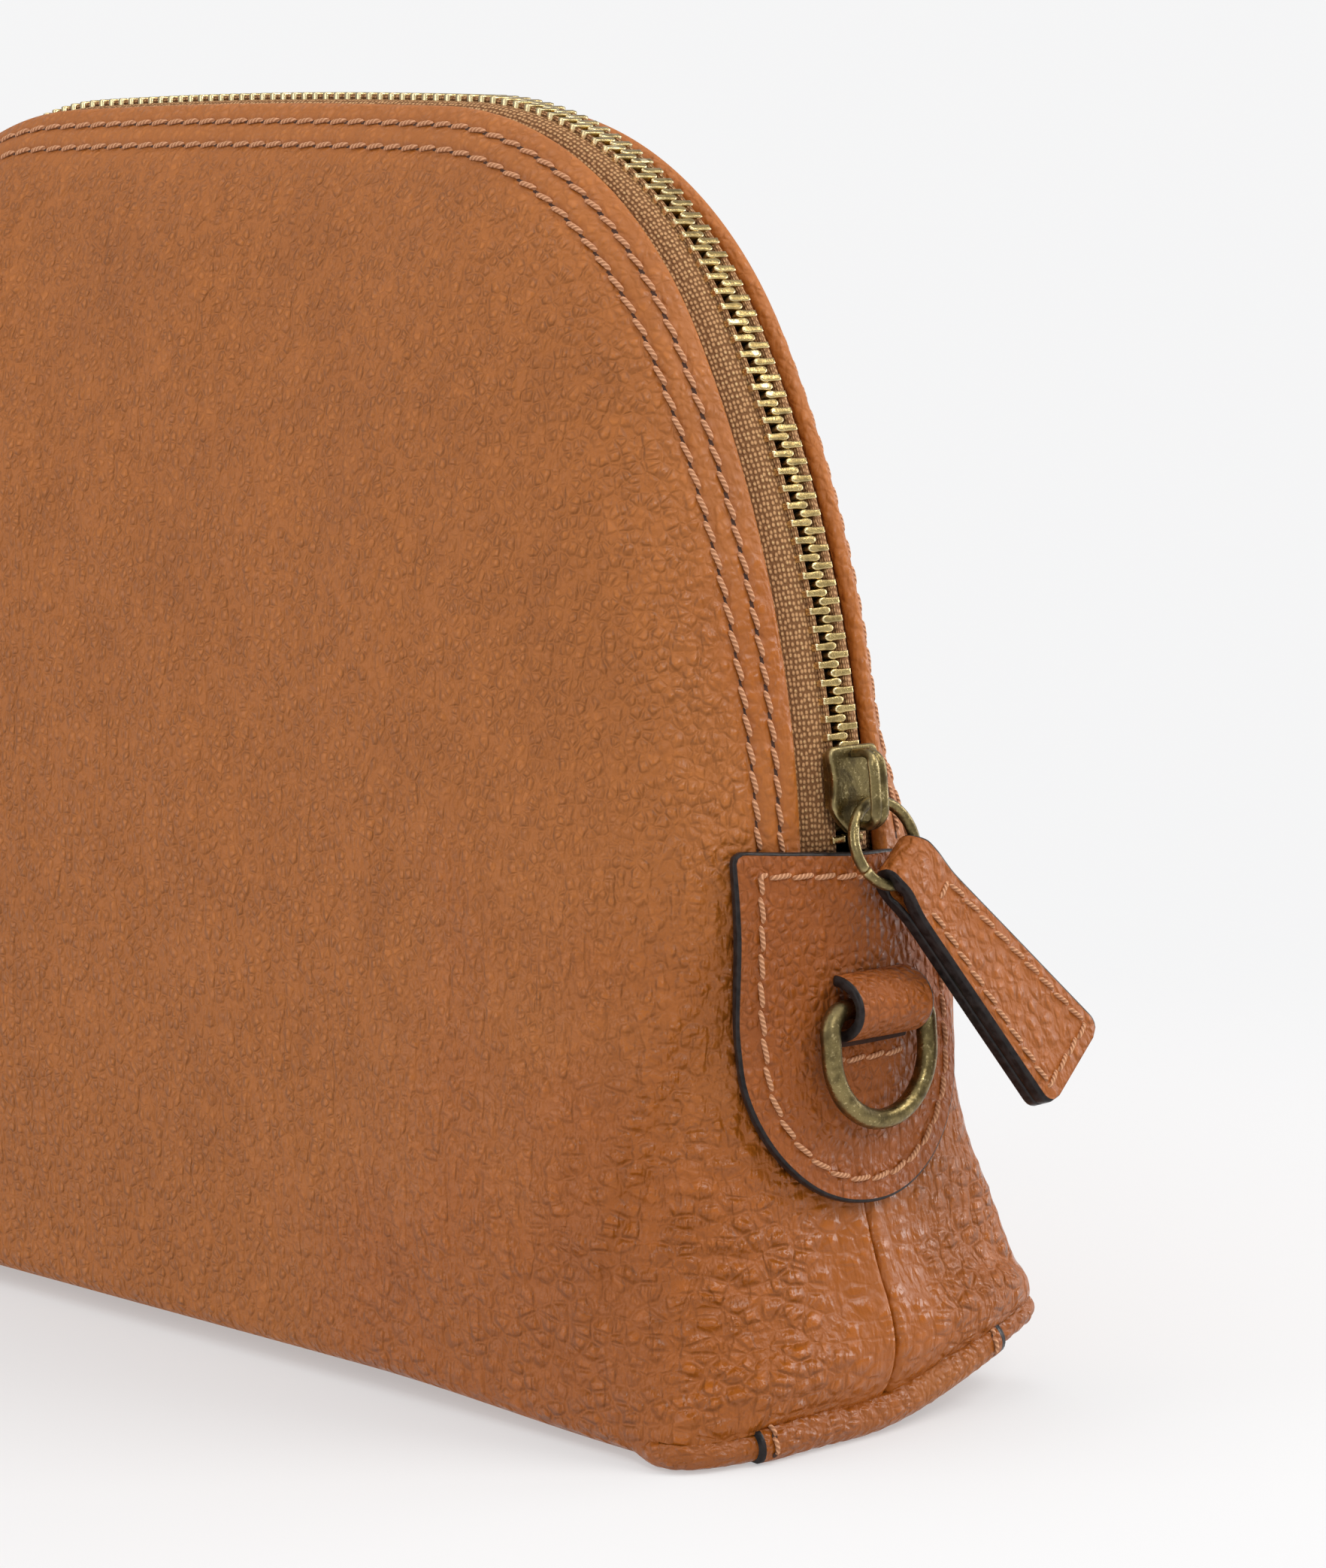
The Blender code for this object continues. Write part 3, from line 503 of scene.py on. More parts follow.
def plate(outline, thickness, radius, put, step=1.0, base=0.0):
    """Solid with a rounded rim over an outline; put(a, b, height) maps to space.

    Gives vertices, faces and a material index: 0 on the faces, 1 on the rim.
    """
    outline = np.asarray(outline, dtype=float)
    count = len(outline)
    levels = []
    for angle in (0.0, 30.0, 60.0, 90.0):
        r = math.radians(angle)
        levels.append((radius * (1 - math.sin(r)), thickness - radius * (1 - math.cos(r))))
    for angle in (90.0, 60.0, 30.0, 0.0):
        r = math.radians(angle)
        levels.append((radius * (1 - math.sin(r)), radius * (1 - math.cos(r))))
    loops = [inset(outline, d) for d, _ in levels]
    top = loops[0]
    low, high = top.min(axis=0), top.max(axis=0)
    guard = inset(outline, radius + 0.55 * step)
    inner = []
    for a in np.arange(low[0] + step / 2, high[0], step):
        crossings = []
        for k in range(count):
            p, q = guard[k], guard[(k + 1) % count]
            if (p[0] > a) != (q[0] > a):
                crossings.append(p[1] + (a - p[0]) / (q[0] - p[0]) * (q[1] - p[1]))
        crossings.sort()
        for m in range(0, len(crossings) - 1, 2):
            span_b = crossings[m + 1] - crossings[m]
            for b in np.linspace(crossings[m], crossings[m + 1], max(2, int(span_b / step) + 1)):
                inner.append((a, b))
    seeds = [Vector(p) for p in top] + [Vector(p) for p in inner]
    edges = [(k, (k + 1) % count) for k in range(count)]
    out, _, tris, origin, _, _ = delaunay_2d_cdt(seeds, edges, [], 1, 1e-5)
    vertices = []
    for loop, (_, h) in zip(loops, levels):
        vertices.extend((a, b, h) for a, b in loop)
    last = (len(levels) - 1) * count
    faces, index = [], []
    for base_index, h, flip in ((0, thickness, False), (last, 0.0, True)):
        where = {}
        for k, p in enumerate(out):
            rim = [o for o in origin[k] if o < count]
            if rim:
                where[k] = base_index + rim[0]
            else:
                where[k] = len(vertices)
                vertices.append((p[0], p[1], h))
        for tri in tris:
            face = tuple(where[k] for k in tri)
            faces.append(face[::-1] if flip else face)
            index.append(0)
    for i in range(len(levels) - 1):
        for k in range(count):
            m = (k + 1) % count
            faces.append((i * count + k, (i + 1) * count + k, (i + 1) * count + m, i * count + m))
            index.append(1)
    vertices = np.array([put(a, b, base + h) for a, b, h in vertices])
    return vertices, faces, index


def waves(seed, wavelength, spread, direction=None, turn=0.5, count=26):
    """A smooth random field: directions, phases and strengths of plane waves."""
    rng = np.random.default_rng(seed)
    if direction is None:
        heads = rng.normal(size=(count, 3))
    else:
        heads = np.asarray(direction, dtype=float) + turn * rng.normal(size=(count, 3))
    heads = unit(heads)
    length = wavelength * (1 + spread * (rng.random(count) - 0.5) * 2)
    return heads * (2 * math.pi / length)[:, None], rng.random(count) * 2 * math.pi


def field(points, wave):
    heads, phase = wave
    flat = points.reshape(-1, 3)
    total = np.zeros(len(flat))
    for h, p in zip(heads, phase):
        total += np.sin(flat @ h + p)
    return (total / math.sqrt(len(phase) / 2)).reshape(points.shape[:-1])


def swept_faces(rings, size, closed=False):
    """Faces over equal rings of points; an open sweep gets a cap at each end."""
    faces = []
    for i in range(rings if closed else rings - 1):
        n = (i + 1) % rings
        for k in range(size):
            m = (k + 1) % size
            faces.append((i * size + k, i * size + m, n * size + m, n * size + k))
    if not closed:
        faces.append(tuple(range(size))[::-1])
        faces.append(tuple((rings - 1) * size + k for k in range(size)))
    return faces


def tube(path, radius, sides=16, closed=True, facing=None):
    """Round wire along a path; radius may vary along it."""
    path = np.asarray(path, dtype=float)
    count = len(path)
    if closed:
        ahead = np.roll(path, -1, axis=0) - np.roll(path, 1, axis=0)
    else:
        ahead = np.gradient(path, axis=0)
    ahead = unit(ahead)
    facing = np.broadcast_to(np.asarray(facing, dtype=float), path.shape)
    side = unit(np.cross(ahead, facing))
    up = unit(np.cross(side, ahead))
    radius = np.broadcast_to(np.asarray(radius, dtype=float), (count,))
    angle = np.linspace(0, 2 * math.pi, sides, endpoint=False)
    ring = (np.cos(angle)[None, :, None] * side[:, None, :]
            + np.sin(angle)[None, :, None] * up[:, None, :])
    vertices = (path[:, None, :] + radius[:, None, None] * ring).reshape(-1, 3)
    return vertices, swept_faces(count, sides, closed)


class Sewing:
    """Collects thread stitches and dark discs of painted shade at their needle holes into two meshes."""

    def __init__(self):
        self.threads, self.uvs, self.holes = [], [], []

    def row(self, path, normals, pitch=3.86, radius=0.38, start=0.5, lift=0.26, cover=0.97,
            slew=-0.24, hole=0.52):
        path, normals = np.asarray(path, dtype=float), np.asarray(normals, dtype=float)
        run = distances(path)
        count = int((run[-1] - start) / pitch)

        def at(s):
            p = np.stack([np.interp(s, run, path[:, k]) for k in range(3)], axis=-1)
            n = unit(np.stack([np.interp(s, run, normals[:, k]) for k in range(3)], axis=-1))
            return p, n

        for i in range(count):
            first = start + i * pitch + pitch * (1 - cover) / 2
            s = np.linspace(first, first + pitch * cover, 11)
            p, n = at(s)
            t = np.linspace(-1, 1, 11)
            rise = lift - (lift + 0.40) * np.abs(t) ** 5
            side = unit(np.cross(np.gradient(p, axis=0), n))
            p = p + n * rise[:, None] + side * (slew * t)[:, None]
            size = radius * (1 - 0.45 * np.abs(t) ** 5)
            v, f = tube(p, size, 9, closed=False, facing=n)
            self.threads.append((v, f))
            along = np.repeat(s, 9)
            around = np.tile(np.linspace(0, 2.4, 9), 11)
            self.uvs.append(np.stack([along, around], axis=1))
        # Each needle hole is a dark disc of painted shade laid on the surface
        for i in range(count + 1):
            c, n = at(np.array([start + i * pitch]))
            ahead = at(np.array([start + i * pitch + 0.2]))[0][0] - c[0]
            if np.linalg.norm(ahead) < 1e-6:
                continue
            ahead = unit(ahead)
            n = n[0]
            side = np.cross(n, ahead)
            c = c[0] + n * 0.035
            angle = np.linspace(0, 2 * math.pi, 10, endpoint=False)
            rim = c + hole * np.cos(angle)[:, None] * ahead + 0.46 * np.sin(angle)[:, None] * side
            dip = np.concatenate([rim, (c - n * 0.03)[None]])
            self.holes.append((dip, [(k, (k + 1) % 10, 10) for k in range(10)]))

    def make(self, name, body):
        parts = self.threads + self.holes
        vertices, faces = joined(parts)
        uv = np.concatenate(self.uvs + [np.zeros((len(v), 2)) for v, _ in self.holes])
        made = sum(len(f) for _, f in self.threads)
        index = [0] * made + [1] * (len(faces) - made)
        return piece(name, (vertices, faces), [THREAD, HOLE_SHADE], body, uv=uv, index=index)


# ---------------------------------------------------------------- the pouch's shape, as in the CAD
def chain_line():
    """Right half of the zip line and the side seam below it, in XZ."""
    x, z, heading = 0.0, 185.3, 0.0
    points = [(x, z)]
    for radius, end in ARCS:
        steps = max(4, int(radius * (end - heading) / 0.5))
        turn = (end - heading) / steps
        for _ in range(steps):
            middle = heading + turn / 2
            x += radius * turn * math.cos(middle)
            z -= radius * turn * math.sin(middle)
            heading += turn
            points.append((x, z))
    ends = [points[-8], points[-1]] + list(SEAM)
    ends.append((2 * SEAM[-1][0] - SEAM[-2][0], 2 * SEAM[-1][1] - SEAM[-2][1]))
    for i in range(1, len(ends) - 2):
        a, b, c, d = (np.array(p) for p in ends[i - 1:i + 3])
        if i == 1:
            a = b + (b - a) * 5
            a = 2 * b - a
        for t in np.linspace(0, 1, 17)[1:]:
            p = 0.5 * (2 * b + (c - a) * t + (2 * a - 5 * b + 4 * c - d) * t**2
                       + (3 * b - a - 3 * c + d) * t**3)
            points.append(tuple(p))
    return np.array(points)


LINE = chain_line()
RUN = distances(LINE)


def run_at(z):
    """Distance along the zip line at which it has come down to a height."""
    return float(np.interp(-z, -LINE[:, 1], RUN))


ZIP_END = run_at(80.0)
SLIDER_RUN = run_at(89.4)


def line_at(run):
    """Point, downward heading and outward normal in XZ for one or many distances."""
    run = np.asarray(run, dtype=float)
    side = np.where(run < 0, -1.0, 1.0)
    s = np.minimum(np.abs(run), RUN[-1])
    x, z = np.interp(s, RUN, LINE[:, 0]), np.interp(s, RUN, LINE[:, 1])
    low, high = np.maximum(0.0, s - 1.0), np.minimum(RUN[-1], s + 1.0)
    tx = np.interp(high, RUN, LINE[:, 0]) - np.interp(low, RUN, LINE[:, 0])
    tz = np.interp(high, RUN, LINE[:, 1]) - np.interp(low, RUN, LINE[:, 1])
    k = np.hypot(tx, tz)
    tx, tz = tx / k, tz / k
    return (np.stack([side * x, z], -1), np.stack([side * tx, tz], -1), np.stack([-side * tz, tx], -1))


def shape_table():
    """Panel shape along the line at half-millimetre steps, with its corners eased."""
    table = np.array(SHAPE)
    at = np.arange(0.0, RUN[-1] + 0.25, 0.5)
    z = np.interp(at, RUN, LINE[:, 1])
    first = run_at(184.6)
    rows = np.stack([np.interp(-z, -table[1:, 0], table[1:, k]) for k in range(1, 5)], axis=1)
    t = (at / first)[:, None]
    rows = np.where(t < 1, table[0, 1:] * (1 - t) + table[1, 1:] * t, rows)
    wide = 20
    mirror = rows[1:wide + 1][::-1] * (-1, 1, 1, 1)
    padded = np.concatenate([mirror, rows, np.repeat(rows[-1:], wide, axis=0)])
    kernel = np.hanning(2 * wide + 1)
    kernel /= kernel.sum()
    eased = np.stack([np.convolve(padded[:, k], kernel, mode="valid") for k in range(4)], axis=1)
    near_end = smooth((at - (RUN[-1] - 22.0)) / 14.0)[:, None]
    return at, eased * (1 - near_end) + rows * near_end


SHAPE_AT, SHAPE_ROWS = shape_table()


def lifted(points):
    """Back corners stand up off the floor and front corners droop a little."""
    x, y, z = points[..., 0], points[..., 1], points[..., 2]
    along = smooth((np.abs(x) - 80.0) / 40.0)
    back = smooth((y / HALF_DEPTH + 0.15) / 1.15)
    low = 1.0 - smooth(z / 45.0)
    out = points.copy()
    out[..., 2] += CORNER_LIFT * along * back * low
    front = smooth((-y / HALF_DEPTH - 0.3) / 0.7)
    out[..., 2] -= FRONT_DROOP * smooth((np.abs(x) - 55.0) / 60.0) * front * (1.0 - smooth(z / 30.0))
    return out


def columns(runs, joined_edge=False, steps=CURVE_STEPS, back=False):
    """Front panel's outer face for each distance: zip edge, down the front, round to the base."""
    runs = np.asarray(runs, dtype=float)
    s = np.abs(runs)
    side = np.where(runs < 0, -1.0, 1.0)
    point, _, normal = line_at(s)
    x, z, nx, nz = point[:, 0], point[:, 1], normal[:, 0], normal[:, 1]
    foot_x, reach, rise, heading = (np.interp(s, SHAPE_AT, SHAPE_ROWS[:, k]) for k in range(4))
    fade = smooth((s - ZIP_END) / 9.0)
    half = ZIP_GAP * (1 - fade) + 0.15 * fade
    sink = 1.1 * (1 - fade)
    turn = np.arccos(np.clip(nz, -1, 1))
    lean = smooth((s - ZIP_END + 24.0) / 34.0) if back else 1.0
    flare = np.radians(45.0 + 43.0 * np.minimum(1.0, turn / 1.45) * lean + 2.0 * fade)
    p0 = np.stack([x - sink * nx, -half, z - sink * nz], 1)
    out = np.stack([-nx * np.cos(flare), -np.sin(flare), -nz * np.cos(flare)], 1)
    p1 = p0 + reach[:, None] * out
    droop = smooth((s - ZIP_END + 60) / 60) * 2.0 * smooth((z - 3.0) / 20.0)
    p1[:, 2] -= np.where(s > ZIP_END - 60, droop, 0.0)
    if joined_edge:
        p0 = np.stack([x, np.zeros_like(x), z], 1)
    p3 = np.stack([foot_x, np.full_like(x, -HALF_DEPTH), np.full_like(x, 5.6)], 1)
    up = np.stack([np.sin(heading), np.full_like(x, -0.03), np.cos(heading)], 1)
    p2 = p3 + up * rise[:, None]
    t = np.linspace(0, 1, steps + 1)[None, :, None]
    u = 1 - t
    curve = (u**3 * p0[:, None] + 3 * u * u * t * p1[:, None]
             + 3 * u * t * t * p2[:, None] + t**3 * p3[:, None])
    r = np.radians(np.linspace(7.5, 90, 12))
    turned = np.stack([np.broadcast_to(foot_x[:, None], (len(s), 12)),
                       np.broadcast_to(-HALF_DEPTH + 3.3 * (1 - np.cos(r)), (len(s), 12)),
                       np.broadcast_to(5.6 - 3.3 * np.sin(r), (len(s), 12))], -1)
    base_x = np.minimum(foot_x + 1.5 * smooth((foot_x - 100) / 17), 119.0)
    q = np.linspace(0.03, 1.0, 34)[None, :]
    start = turned[:, -1]
    base = np.stack([start[:, :1] + (base_x - start[:, 0])[:, None] * q,
                     start[:, 1:2] * (1 - q) - 0.15 * q,
                     np.full((len(s), 34), 2.3)], -1)
    everything = np.concatenate([curve, turned, base], axis=1)
    everything[..., 0] *= side[:, None]
    return everything


class Skin:
    """Outer face of a panel, looked up by distance along the zip and distance from its edge."""

    def __init__(self, runs, back):
        grid = columns(runs, back=back)
        if back:
            grid[..., 1] *= -1
        self.grid = lifted(grid)
        self.runs = np.asarray(runs)
        normal = np.cross(np.gradient(self.grid, axis=0), np.gradient(self.grid, axis=1))
        normal = unit(normal) * (1.0 if back else -1.0)
        away_from_middle = self.grid * (0.25, 1.0, 1.0) - (0.0, 0.0, 40.0)
        facing = np.sum(normal * away_from_middle, axis=2, keepdims=True)
        normal = np.where(facing < 0, -normal, normal)
        for _ in range(2):
            normal[1:-1] = (normal[:-2] + 2 * normal[1:-1] + normal[2:]) / 4
        self.normal = unit(normal)
        step = np.linalg.norm(np.diff(self.grid, axis=1), axis=2)
        self.away = np.concatenate([np.zeros((len(runs), 1)), np.cumsum(step, axis=1)], axis=1)
        self.foot = self.away[:, CURVE_STEPS]

    def at(self, i, d):
        """Points and normals on column i at distances d from the edge."""
        p = np.stack([np.interp(d, self.away[i], self.grid[i, :, k]) for k in range(3)], -1)
        n = np.stack([np.interp(d, self.away[i], self.normal[i, :, k]) for k in range(3)], -1)
        return p, unit(n)


def panel_runs(step):
    count = int(RUN[-1] / step)
    half = np.linspace(0, RUN[-1], count + 1)
    return np.concatenate([-half[:0:-1], half])


SOFT_SWELL = waves(11, 52.0, 0.30)
SOFT_DENT = waves(12, 21.0, 0.3)
SLANT = waves(13, 6.8, 0.35, (0.62, 0.1, 0.78), 0.22)
CORNER = waves(14, 7.5, 0.20, (0.05, 0.1, 1.0), 0.16)
RUCK = waves(15, 13.0, 0.25, (0.2, 0.1, 1.0), 0.30)


def relief(points, edge, run, back):
    """How far the hide stands off its smooth shape: swells, creases, sewn rows, corner wrinkles."""
    x, y, z = points[..., 0], np.abs(points[..., 1]), points[..., 2]
    free = smooth((edge - 9.0) / 14.0) * smooth((z - 3.5) / 8.0)
    tabbed = smooth((np.abs(x) - 96.0) / 8.0) * (1 - smooth((y - 20.0) / 7.0)) * smooth((z - 26.0) / 6.0)
    far = np.sqrt((np.abs(x) - 117.5) ** 2 + (y - HALF_DEPTH) ** 2 + (z - 5.0) ** 2)
    loose = free * (1 - 0.92 * tabbed) * smooth((far - 3.0) / 16.0)
    out = loose * 0.34 * field(points, SOFT_SWELL)
    out += loose * 0.13 * field(points, SOFT_DENT)
    upper_left = smooth((70.0 - x) / 90.0) * smooth((z - 60.0) / 60.0)
    out += loose * (0.05 + 0.07 * upper_left) * np.maximum(-0.6, field(points, SLANT))
    corner = smooth((np.abs(x) - 82.0) / 22.0) * (1 - smooth((z - 26.0) / 22.0))
    corner = corner * smooth((y - 8.0) / 10.0)
    sharp = field(points, CORNER)
    share = 0.45 if back else 1.0
    out += loose * corner * 0.30 * share * (1 - np.minimum(np.abs(sharp), 1.4))
    out += loose * corner * 0.16 * share * field(points, RUCK)
    sewn = 1 - smooth((np.abs(run) - ZIP_END + 2) / 3.0)
    groove = sewn * (bump(edge, 4.2, 0.70) + bump(edge, 8.4, 0.70))
    out += sewn * (0.12 * bump(edge, 6.3, 1.3) + 0.08 * bump(edge, 10.8, 1.6)) - 0.30 * groove
    return out, groove


def leather_panel(back):
    """One panel with its turned edge, its lining and its two sewn rows."""
    word = "back" if back else "front"
    runs = panel_runs(1.1)
    skin = Skin(runs, back)
    arc = np.radians(np.linspace(90, -90, 9))
    near = np.arange(1.9, 12.1, 0.6)
    rows, edge_rows = [], []
    for i, s in enumerate(runs):
        sewn = 1 - smooth((abs(s) - ZIP_END) / 8.0)
        thick = 2.2 + (TURNED_EDGE - 2.2) * float(sewn)
        r = thick / 2
        foot = skin.foot[i]
        total = skin.away[i, -1]
        inner_d = np.array([11.0, 7.0, 3.5, 1.6])
        edge_d = np.concatenate([inner_d, r - r * np.cos(arc), near,
                                 12.0 + (foot - 12.0) * np.linspace(0, 1, 150)[1:],
                                 foot + (total - foot) * np.linspace(0, 1, 34)[1:]])
        depth = np.zeros_like(edge_d)
        depth[:4] = thick
        depth[4:13] = r + r * np.sin(arc)
        p, n = skin.at(i, edge_d)
        rows.append((p, n, depth))
        edge_rows.append(np.where(np.arange(len(edge_d)) < 8, -1.0, edge_d))
    p = np.array([r[0] for r in rows])
    n = np.array([r[1] for r in rows])
    depth = np.array([r[2] for r in rows])
    edge = np.array(edge_rows)
    run = np.broadcast_to(runs[:, None], edge.shape)
    stand, groove = relief(p, edge, run, back)
    stand = stand * (depth < 1e-6)
    place = p + n * (stand - depth)[..., None]
    y = place[..., 1]
    place[..., 1] = np.maximum(y, 0.12) if back else np.minimum(y, -0.12)
    count_rows, count_cols = edge.shape
    data = (place.reshape(-1, 3), grid_faces(count_rows, count_cols))
    # The second mark carries painted shade for the grooves of the sewn rows
    piece("leather_" + word, data, [PANEL], "pouch", (word + "_panel",),
          marks={"edge": edge, "painted_groove_shade": 0.55 * groove})
    cloth = [0, 6, 13] + list(range(30, count_cols, 12)) + [count_cols - 1]
    lining = p - n * (LEATHER + 0.5 + 1.9 * (1 - smooth((edge - 12.0) / 10.0))
                      * (1 - smooth((np.abs(run) - ZIP_END) / 8.0)))[..., None]
    lining = lining[::4][:, cloth[2:]]
    y = lining[..., 1]
    lining[..., 1] = np.maximum(y, 0.2) if back else np.minimum(y, -0.2)
    uv = np.stack([run[::4][:, cloth[2:]], edge[::4][:, cloth[2:]]], -1).reshape(-1, 2)
    made = piece("lining_cloth_" + word, (lining.reshape(-1, 3), grid_faces(*lining.shape[:2])), [CLOTH],
                 "pouch", ("lining_" + word,), uv=uv)
    thick_cloth = made.modifiers.new("thickness", "SOLIDIFY")
    thick_cloth.thickness = LINING * MM
    thick_cloth.offset = -1.0
    sewing = Sewing()
    for inset_by in (4.2, 8.4):
        keep = np.abs(runs) < ZIP_END - 0.5
        path, normals = [], []
        for i in np.nonzero(keep)[0]:
            q, m = skin.at(i, np.array([inset_by]))
            path.append(q[0] - m[0] * 0.24)
            normals.append(m[0])
        sewing.row(path, normals, start=1.0 if inset_by < 5 else 2.4, cover=0.85, slew=-0.34,
                   hole=0.62)
    sewing.make("thread_" + word, "pouch")


for back in (False, True):
    leather_panel(back)


# ---------------------------------------------------------------- tape and teeth
def tapes():
    """Zip tapes, from the teeth to under the leather's turned edge."""
    runs = np.linspace(-(ZIP_END - 0.6), ZIP_END - 0.6, 361)
    for back, word in ((False, "front"), (True, "back")):
        grid = columns(runs, back=back)
        normal = unit(np.cross(np.gradient(grid, axis=0), np.gradient(grid, axis=1))) * -1.0
        step = np.linalg.norm(np.diff(grid, axis=1), axis=2)
        away = np.concatenate([np.zeros((len(runs), 1)), np.cumsum(step, axis=1)], axis=1)
        under = TURNED_EDGE + 0.6 + TAPE / 2
        sheet = []
        for i, s in enumerate(runs):
            (x, z), _, (nx, nz) = line_at(s)
            knots = [np.array([x - n * nx, -y, z - n * nz])
                     for y, n in ((1.9, 1.15), (3.25, 1.2), (4.3, 1.35))]
            for d in (0.3, 5.5, 10.5):
                p = np.array([np.interp(d, away[i], grid[i, :, k]) for k in range(3)])
                m = np.array([np.interp(d, away[i], normal[i, :, k]) for k in range(3)])
                knots.append(p - under * m)
            knots = np.array(knots)
            dense = resample(knots, 0.7)[:28]
            even = np.linspace(0, 1, 22)
            run = np.linspace(0, 1, len(dense))
            sheet.append(np.stack([np.interp(even, run, dense[:, k]) for k in range(3)], 1))
        sheet = np.array(sheet)
        for _ in range(3):
            sheet[:, 1:-1] = (sheet[:, :-2] + 2 * sheet[:, 1:-1] + sheet[:, 2:]) / 4
        if back:
            sheet[..., 1] *= -1
        across = np.concatenate([np.zeros((len(runs), 1)),
                                 np.cumsum(np.linalg.norm(np.diff(sheet, axis=1), axis=2), axis=1)], 1)
        uv = np.stack([np.broadcast_to(runs[:, None], across.shape), across], -1).reshape(-1, 2)
        made = piece("tape_" + word, (sheet.reshape(-1, 3), grid_faces(*sheet.shape[:2])), [WEAVE],
                     "pouch", ("zipper_tape_" + word,), uv=uv)
        thick = made.modifiers.new("thickness", "SOLIDIFY")
        thick.thickness = TAPE * MM
        thick.offset = 0.0


tapes()


def on_chain(run):
    (x, z), (tx, tz), (nx, nz) = line_at(run)

    def at(a, y, n):
        return (x + a * tx + n * nx, y, z + a * tz + n * nz)

    return at


def spline(points, per=6, closed=True):
    """Smooth curve through points."""
    points = np.asarray(points, dtype=float)
    count = len(points)
    out = []
    for i in range(count if closed else count - 1):
        a = points[(i - 1) % count] if closed or i > 0 else points[0]
        b = points[i]
        c = points[(i + 1) % count]
        d = points[(i + 2) % count] if closed or i + 2 < count else points[-1]
        for t in np.linspace(0, 1, per, endpoint=False):
            out.append(0.5 * (2 * b + (c - a) * t + (2 * a - 5 * b + 4 * c - d) * t**2
                              + (3 * b - a - 3 * c + d) * t**3))
    if not closed:
        out.append(points[-1])
    return np.array(out)


def anticlockwise(outline):
    outline = np.asarray(outline, dtype=float)
    x, y = outline[:, 0], outline[:, 1]
    turn = np.sum(x * np.roll(y, -1) - np.roll(x, -1) * y)
    return outline if turn > 0 else outline[::-1]


TOOTH_PLAN = anticlockwise([
    (-0.50, 3.05), (-0.50, 1.10), (-0.58, 0.55), (-0.60, -0.20), (-0.46, -0.72), (-0.18, -0.95),
    (0.18, -0.95), (0.46, -0.72), (0.60, -0.20), (0.58, 0.55), (0.50, 1.10), (0.50, 3.05),
])


def teeth():
    """Two rows of teeth and the cords that they clamp."""
    template = plate(resample(TOOTH_PLAN, 0.45, True), CHAIN_THICK, 0.26,
                     lambda a, b, h: (a, b, h), step=1.0, base=-CHAIN_THICK + 0.05)
    local, faces, _ = template
    start = -(run_at(ZIP_LEFT_HEIGHT))
    end = SLIDER_RUN - 1.0
    for back, word in ((False, "front"), (True, "back")):
        sign = 1.0 if back else -1.0
        parts = []
        s = start + 0.8 + (PITCH / 2 if back else 0.0) + 0.475
        while s + 0.6 < end:
            (x, z), (tx, tz), (nx, nz) = line_at(s)
            v = np.stack([x + local[:, 0] * tx + local[:, 2] * nx, sign * local[:, 1],
                          z + local[:, 0] * tz + local[:, 2] * nz], 1)
            parts.append((v, faces))
            s += PITCH
        piece("teeth_" + word, joined(parts), [BRASS], "pouch", ("teeth_row_" + word,))
        runs = np.linspace(start, end, 240)
        point, _, normal = line_at(runs)
        for n, part in ((-0.68, "upper"), (-1.72, "lower")):
            path = np.stack([point[:, 0] + n * normal[:, 0], np.full(len(runs), sign * 2.30),
                             point[:, 1] + n * normal[:, 1]], 1)
            facing = np.stack([normal[:, 0], np.zeros(len(runs)), normal[:, 1]], 1)
            v, f = tube(path, 0.48, 8, closed=False, facing=facing)
            uv = np.stack([np.repeat(runs, 8), np.tile(np.linspace(0, 3.9, 8), len(runs))], 1)
            piece("tape_cord_" + word + "_" + part, (v, f), [WEAVE], "pouch", (), uv=uv)


teeth()


